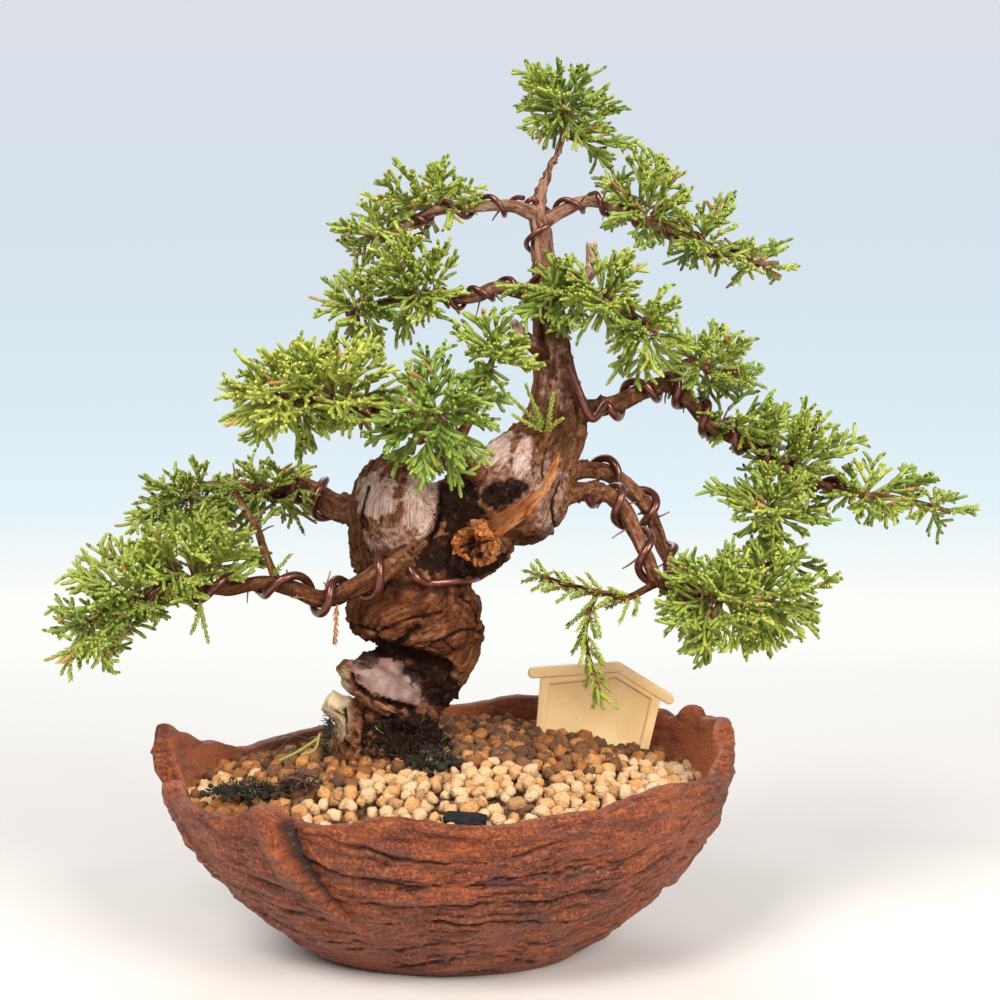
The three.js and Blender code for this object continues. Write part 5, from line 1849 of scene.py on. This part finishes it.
# %% Roll the stub and push out the strip
bm = bark_mesh()
across = STUB_WAY.orthogonal().normalized()
upward = STUB_WAY.cross(across)
bmesh.ops.create_grid(bm, x_segments=STUB_TURNS, y_segments=STUB_ROWS, size=1)
grain_layer, dark_layer = bm.verts.layers.float_vector["grain"], bm.verts.layers.float["dark"]
for vert in bm.verts:
    turn = (vert.co.x + 1) * math.pi
    row = round((vert.co.y + 1) / 2 * STUB_ROWS)
    radius, along, depth = stub_point(turn, row)
    out = (across * math.cos(turn) + upward * math.sin(turn)) * radius
    vert.co = STUB_FOOT + STUB_WAY * along + out
    vert[grain_layer] = vert.co - STUB_WAY * vert.co.dot(STUB_WAY) * STUB_GRAIN_STRETCH
    torn_off = noise.noise(vert.co * 0.5) * 2.4 + noise.noise(vert.co * 1.4) * 1.3
    vert.co += STUB_WAY * torn_off + upward * noise.noise(vert.co * 0.9) * 1.2
    # How deep in the hollow a place lies, kept for the painted shade there.
    vert[dark_layer] = smooth_step(depth, 0.3, 0.8)
bmesh.ops.remove_doubles(bm, verts=bm.verts, dist=0.005)
ends = [edge for edge in bm.edges if edge.is_boundary]
bmesh.ops.holes_fill(bm, edges=ends)
rings = add_tube(bm, STRIP_ROUTE, 18, 60, STRIP_FLATNESS)
for verts, (share, place, _, side_a, side_b, radius) in rings:
    for vert in verts:
        out = (vert.co - place).normalized()
        grain = Vector((out.dot(side_a) * radius, out.dot(side_b) * radius + 30, share * 6))
        vert.co += out * (0.5 * noise.noise(grain * 0.9) + 0.25 * noise.noise(grain * 2.4))
        vert[grain_layer] = grain
bmesh.ops.recalc_face_normals(bm, faces=bm.faces)
torn_mesh = to_mesh(bm, "torn_wood")
print("torn wood faces", len(torn_mesh.polygons))

# %% Heartwood finish
heart = Finish("torn_heartwood", {"Roughness": 0.62, "Specular IOR Level": 0.35})
heart_grain = heart.attribute("grain", "Vector")
heart_fibres = heart.noise(1.3, 6, heart_grain, 0.65)
heart_color = heart.ramp(heart_fibres, [
    (0.35, (0.18, 0.030, 0.008)),
    (0.44, (0.54, 0.12, 0.020)),
    (0.54, (0.76, 0.26, 0.055)),
    (0.70, (0.82, 0.50, 0.22)),
])
tan_share = heart.between(heart.noise(0.12, 3), 0.45, 0.6)
heart_color = heart.mix(tan_share * 0.45, heart_color, shade(0.55, 0.36, 0.20))
# Painted shade: the wood darkens deeper down in the torn tube's hollow.
hollow = heart.between(heart.attribute("dark") + (heart_fibres - 0.5) * 0.8, 0.2, 0.8)
heart_color = heart.mix(hollow * 0.85, heart_color, shade(0.17, 0.018, 0.005))
heart_finish = heart.lay(heart_color, height=heart_fibres, depth=2)
hand_over("torn_wood", torn_mesh, heart_finish, "bark", "trunk_and_branches")

# %% [markdown]
# ## Plant label
# A blank house-shaped tag of warm cream plastic, moulded in one piece: a flat board with a raised
# border, and two rounded bars for a roof. It leans a little to the right in the grit.

# %% Plant label
LABEL_OUTLINE = [(-19, -12), (19, -12), (21.5, 22), (4.8, 29), (-21.5, 22)]
LABEL_THICKNESS = 2
LABEL_BORDER = 3
LABEL_RECESS = 1.1
LABEL_SLOPE = 0.7
ROOF_HALF_HEIGHT = 1.9
ROOF_DEPTHS = (3.4, 2.8)
ROOF_PEAK = Vector((4.8, 29.2))
ROOF_EAVES = (Vector((-24.2, 22.6)), Vector((24.2, 21)))
label_place = (
    Matrix.Translation((49, 30, 61)) @ Matrix.Rotation(math.pi / 2, 4, "X")
    @ Matrix.Rotation(math.radians(-9), 4, "Z")
)
EDGE_BEVEL = {"affect": "EDGES", "profile": 0.5, "material": -1}


# %% Board and roof bars
def label_board():
    bm = bmesh.new()
    bmesh.ops.create_circle(bm, cap_ends=True, segments=len(LABEL_OUTLINE), radius=1)
    bm.verts.ensure_lookup_table()
    for vert, (x, y) in zip(bm.verts, LABEL_OUTLINE):
        vert.co = (x, y, 0)
    front = bmesh.ops.extrude_face_region(bm, geom=bm.faces[:])["geom"]
    front_verts = only(bmesh.types.BMVert, front)
    bmesh.ops.translate(bm, verts=front_verts, vec=(0, 0, LABEL_THICKNESS))
    bmesh.ops.recalc_face_normals(bm, faces=bm.faces)
    panel = [face for face in bm.faces if face.normal.z > 0.9]
    bmesh.ops.inset_region(bm, faces=panel, thickness=LABEL_BORDER, use_even_offset=True)
    bmesh.ops.inset_region(bm, faces=panel, thickness=LABEL_SLOPE, use_even_offset=True)
    bmesh.ops.translate(bm, verts=panel[0].verts, vec=(0, 0, -LABEL_RECESS))
    bmesh.ops.bevel(bm, geom=bm.edges[:], offset=0.25, segments=2, **EDGE_BEVEL)
    return bm


def roof_bar(bm, start, end, depth):
    """A bar with round ends between two points."""
    way = end - start
    made = bmesh.ops.create_circle(bm, cap_ends=True, segments=32, radius=ROOF_HALF_HEIGHT)["verts"]
    for vert in made:
        vert.co.x += way.length / 2 if vert.co.x > 0.001 else -way.length / 2
    grown = bmesh.ops.extrude_face_region(bm, geom=[made[0].link_faces[0]])["geom"]
    top = only(bmesh.types.BMVert, grown)
    bmesh.ops.translate(bm, verts=top, vec=(0, 0, depth))
    edges = {edge for vert in (*made, *top) for edge in vert.link_edges}
    rims = [edge for edge in edges if edge.calc_length() < way.length]
    rims = [edge for edge in rims if abs(edge.verts[0].co.z - edge.verts[1].co.z) < 0.01]
    rims += [edge for vert in top for edge in vert.link_edges if edge.calc_length() >= way.length]
    rims = list(set(rims))
    bevelled = bmesh.ops.bevel(bm, geom=rims, offset=0.7, segments=4, **EDGE_BEVEL)
    verts = {vert for face in bevelled["faces"] for vert in face.verts}
    verts |= {vert for vert in made if vert.is_valid}
    middle = (start + end) / 2
    turn = Matrix.Rotation(math.atan2(way.y, way.x), 4, "Z")
    place = Matrix.Translation((middle.x, middle.y, (LABEL_THICKNESS - depth) / 2)) @ turn
    bmesh.ops.transform(bm, matrix=place, verts=list(verts))


# %% Put the label together
bm = label_board()
for eaves, depth in zip(ROOF_EAVES, ROOF_DEPTHS):
    roof_bar(bm, eaves, ROOF_PEAK, depth)
bmesh.ops.recalc_face_normals(bm, faces=bm.faces)
bmesh.ops.transform(bm, matrix=label_place, verts=bm.verts)
plastic_tag = Finish("cream_plastic", {"Roughness": 0.38, "Specular IOR Level": 0.45})
clouding = plastic_tag.noise(0.08, 4)
tag_color = plastic_tag.ramp(clouding, [(0.35, (0.90, 0.60, 0.27)), (0.65, (0.96, 0.71, 0.38))])
soiled = plastic_tag.between(plastic_tag.noise(0.35, 5), 0.62, 0.74)
tag_color = plastic_tag.mix(soiled * 0.25, tag_color, shade(0.45, 0.24, 0.09))
label_finish = plastic_tag.lay(tag_color, height=plastic_tag.noise(1.2, 2), depth=0.03)
label_mesh = to_mesh(bm, "plant_label")
hand_over("label", label_mesh, label_finish, "label_plastic", "plant_label")

# %% [markdown]
# ## Moss, roots and charcoal
# Black algae and dead moss sit at the foot of the trunk and in the left corner. They are
# cushions of short bent fibres and black crumbs, with a few green fibres. A chip of charcoal
# lies at the front rim: a block that random planes cut until it has sharp facets.


# %% Dark moss
def moss_cushion(heap, rolls, middle, half_sizes, count):
    for _ in range(count):
        way = Vector((rolls.gauss(0, 1), rolls.gauss(0, 1), abs(rolls.gauss(0, 1)))).normalized()
        spot = Vector(middle) + on_ball(way, half_sizes) * rolls.uniform(0.5, 1)
        lean = (way + jog(rolls, 0.7)).normalized() * rolls.uniform(0.9, 2.6)
        place = along_way(spot, lean, rolls.uniform(0.1, 0.24), rolls.uniform(0, 6))
        tone = 0.9 if rolls.random() < 0.06 else rolls.uniform(0, 0.4)
        heap.add(TWIGS[rolls.randrange(len(TWIGS))], place, tone=tone, youth=0)
    for _ in range(count // 9):
        way = Vector((rolls.gauss(0, 0.5), rolls.gauss(0, 0.5), 0.2))
        spot = Vector(middle) + on_ball(way, half_sizes)
        size = rolls.uniform(0.2, 0.36) * min(half_sizes)
        place = Matrix.Translation(spot) @ turned(rolls) @ Matrix.Scale(size, 4)
        heap.add(GRAINS[rolls.randrange(len(GRAINS))], place, tone=0.05)


moss_rolls = random.Random(8)
moss = Finish("dark_moss", {"Roughness": 0.7, "Specular IOR Level": 0.35})
moss_tone = moss.attribute("tone")
moss_color = moss.ramp(moss_tone, [
    (0.0, (0.010, 0.010, 0.008)), (0.4, (0.05, 0.038, 0.025)), (0.85, (0.16, 0.20, 0.04)),
])
moss_finish = moss.lay(moss_color, height=moss.noise(1.5, 4), depth=0.5)
corner_heap = Heap("age", "youth")
moss_cushion(corner_heap, moss_rolls, (-62, -28, 56.5), (14, 8, 4), 480)
moss_cushion(corner_heap, moss_rolls, (-44, -36, 61), (7, 4.5, 2.6), 160)
trunk_heap = Heap("age", "youth")
moss_cushion(trunk_heap, moss_rolls, (-4, -23, 64.5), (8, 6, 5.5), 420)
# Root hairs on the trunk's foot: directions round it in half turns, and heights.
FRONT_AND_RIGHT = (1.42, 2.1)
LEFT = (0.95, 1.15)
HAIRS_FROM = 63
HAIRS_TO = 79
for _ in range(460):
    front, left = moss_rolls.uniform(*FRONT_AND_RIGHT), moss_rolls.uniform(*LEFT)
    turn = moss_rolls.choice((front, left)) * math.pi
    height = blend(HAIRS_FROM, HAIRS_TO, moss_rolls.random() ** 1.5)
    out = Vector((math.cos(turn), math.sin(turn), 0))
    taper = blend(1.08, 0.94, (height - HAIRS_FROM) / (HAIRS_TO - HAIRS_FROM))
    spot = Vector((-20, -1, height)) + out * Vector((19.5, 17.5, 0)) * taper
    lean = (out * 0.5 + jog(moss_rolls, 0.6)).normalized() * moss_rolls.uniform(1.5, 3.6)
    place = along_way(spot, lean, moss_rolls.uniform(0.1, 0.2), 0)
    tone = 0.85 if moss_rolls.random() < 0.05 else moss_rolls.uniform(0, 0.4)
    trunk_heap.add(TWIGS[moss_rolls.randrange(len(TWIGS))], place, tone=tone, youth=0)
corner_mesh = to_mesh(corner_heap.bm, "moss_in_corner")
trunk_moss_mesh = to_mesh(trunk_heap.bm, "moss_on_trunk")
hand_over("moss_in_corner", corner_mesh, moss_finish, "dark_moss", "moss_front_left")
hand_over("moss_on_trunk", trunk_moss_mesh, moss_finish, "dark_moss", "moss_at_trunk")

# %% Charcoal chip
CHIP_SIZE = (12.5, 5.5, 4)
CHIP_CUTS = 16
chip_rolls = random.Random(14)
bm = bmesh.new()
bmesh.ops.create_cube(bm, size=1, matrix=Matrix.Diagonal((*CHIP_SIZE, 1)))
for _ in range(CHIP_CUTS):
    way = Vector(chip_rolls.gauss(0, amount) for amount in (0.5, 1, 1)).normalized()
    far = max(vert.co.dot(way) for vert in bm.verts)
    parts = bmesh.ops.bisect_plane(
        bm, geom=bm.verts[:] + bm.edges[:] + bm.faces[:],
        plane_co=way * far * chip_rolls.uniform(0.66, 0.95), plane_no=way, clear_outer=True,
    )
    bmesh.ops.holes_fill(bm, edges=only(bmesh.types.BMEdge, parts["geom_cut"]))
bmesh.ops.recalc_face_normals(bm, faces=bm.faces)
bmesh.ops.bevel(bm, geom=bm.edges[:], offset=0.15, segments=1, **EDGE_BEVEL)
chip_place = Matrix.Translation((7, -60.5, 56.6)) @ Matrix.Rotation(math.radians(-7), 4, "Z")
bmesh.ops.transform(bm, matrix=chip_place, verts=bm.verts)
charcoal = Finish("charcoal", {"Roughness": 0.85, "Specular IOR Level": 0.2})
coal_grain = charcoal.noise(0.9, 6, charcoal.stretched(0.25, 1, 1))
coal_color = charcoal.ramp(coal_grain, [(0.35, (0.004, 0.004, 0.005)), (0.7, (0.028, 0.028, 0.032))])
coal_finish = charcoal.lay(coal_color, height=coal_grain, depth=1.5)
hand_over("charcoal", to_mesh(bm, "charcoal"), coal_finish, "charcoal", "charcoal_chip")

# %% [markdown]
# ## Litter on the soil
# A few bits lie on the grit: dark red roots that come up at the left, black root hairs beside the
# trunk and a fallen pair of green needles.

# %% Litter
# Points, radius, tone.
LITTER = [
    ([(-52, -36, 61), (-47, -38, 64), (-42, -37, 62.5), (-38, -40, 61.5)], 0.45, 0.5),
    ([(-50, -33, 62), (-45, -34, 65), (-41, -33, 63.5), (-39, -30, 62)], 0.4, 0.5),
    ([(-46, -40, 60.5), (-43, -38.5, 63), (-41, -42, 61.5)], 0.28, 0.5),
    ([(-55, -12, 66), (-50, -10, 71.5), (-44, -8, 70.5), (-38, -8, 72)], 0.2, 0.05),
    ([(-58, -10, 67), (-54, -8, 71.5), (-48, -7, 71)], 0.16, 0.05),
    ([(-52, -24, 66.5), (-46, -24, 69.5), (-40, -24, 73.5)], 0.45, 1),
    ([(-45, -25, 68.5), (-41, -25, 70), (-39.5, -24, 75)], 0.4, 1),
    ([(24, -14, 69), (28, -15, 71), (33, -14, 69.5)], 0.3, 0.55),
]
litter_heap = Heap()
for points, radius, tone in LITTER:
    strand = wire_mesh("strand", through([Vector(point) for point in points], 14), radius)
    strand.attributes.new("tone", "FLOAT", "POINT")
    litter_heap.add(strand, Matrix.Identity(4), tone=tone)
litter = Finish("litter", {"Roughness": 0.5})
litter_color = litter.ramp(litter.attribute("tone"), [
    (0.1, (0.012, 0.008, 0.006)), (0.6, (0.12, 0.018, 0.014)), (0.95, (0.24, 0.24, 0.045)),
])
litter_finish = litter.lay(litter_color, height=litter.noise(1.5, 3), depth=0.2)
hand_over("litter", to_mesh(litter_heap.bm, "litter"), litter_finish, "bark")
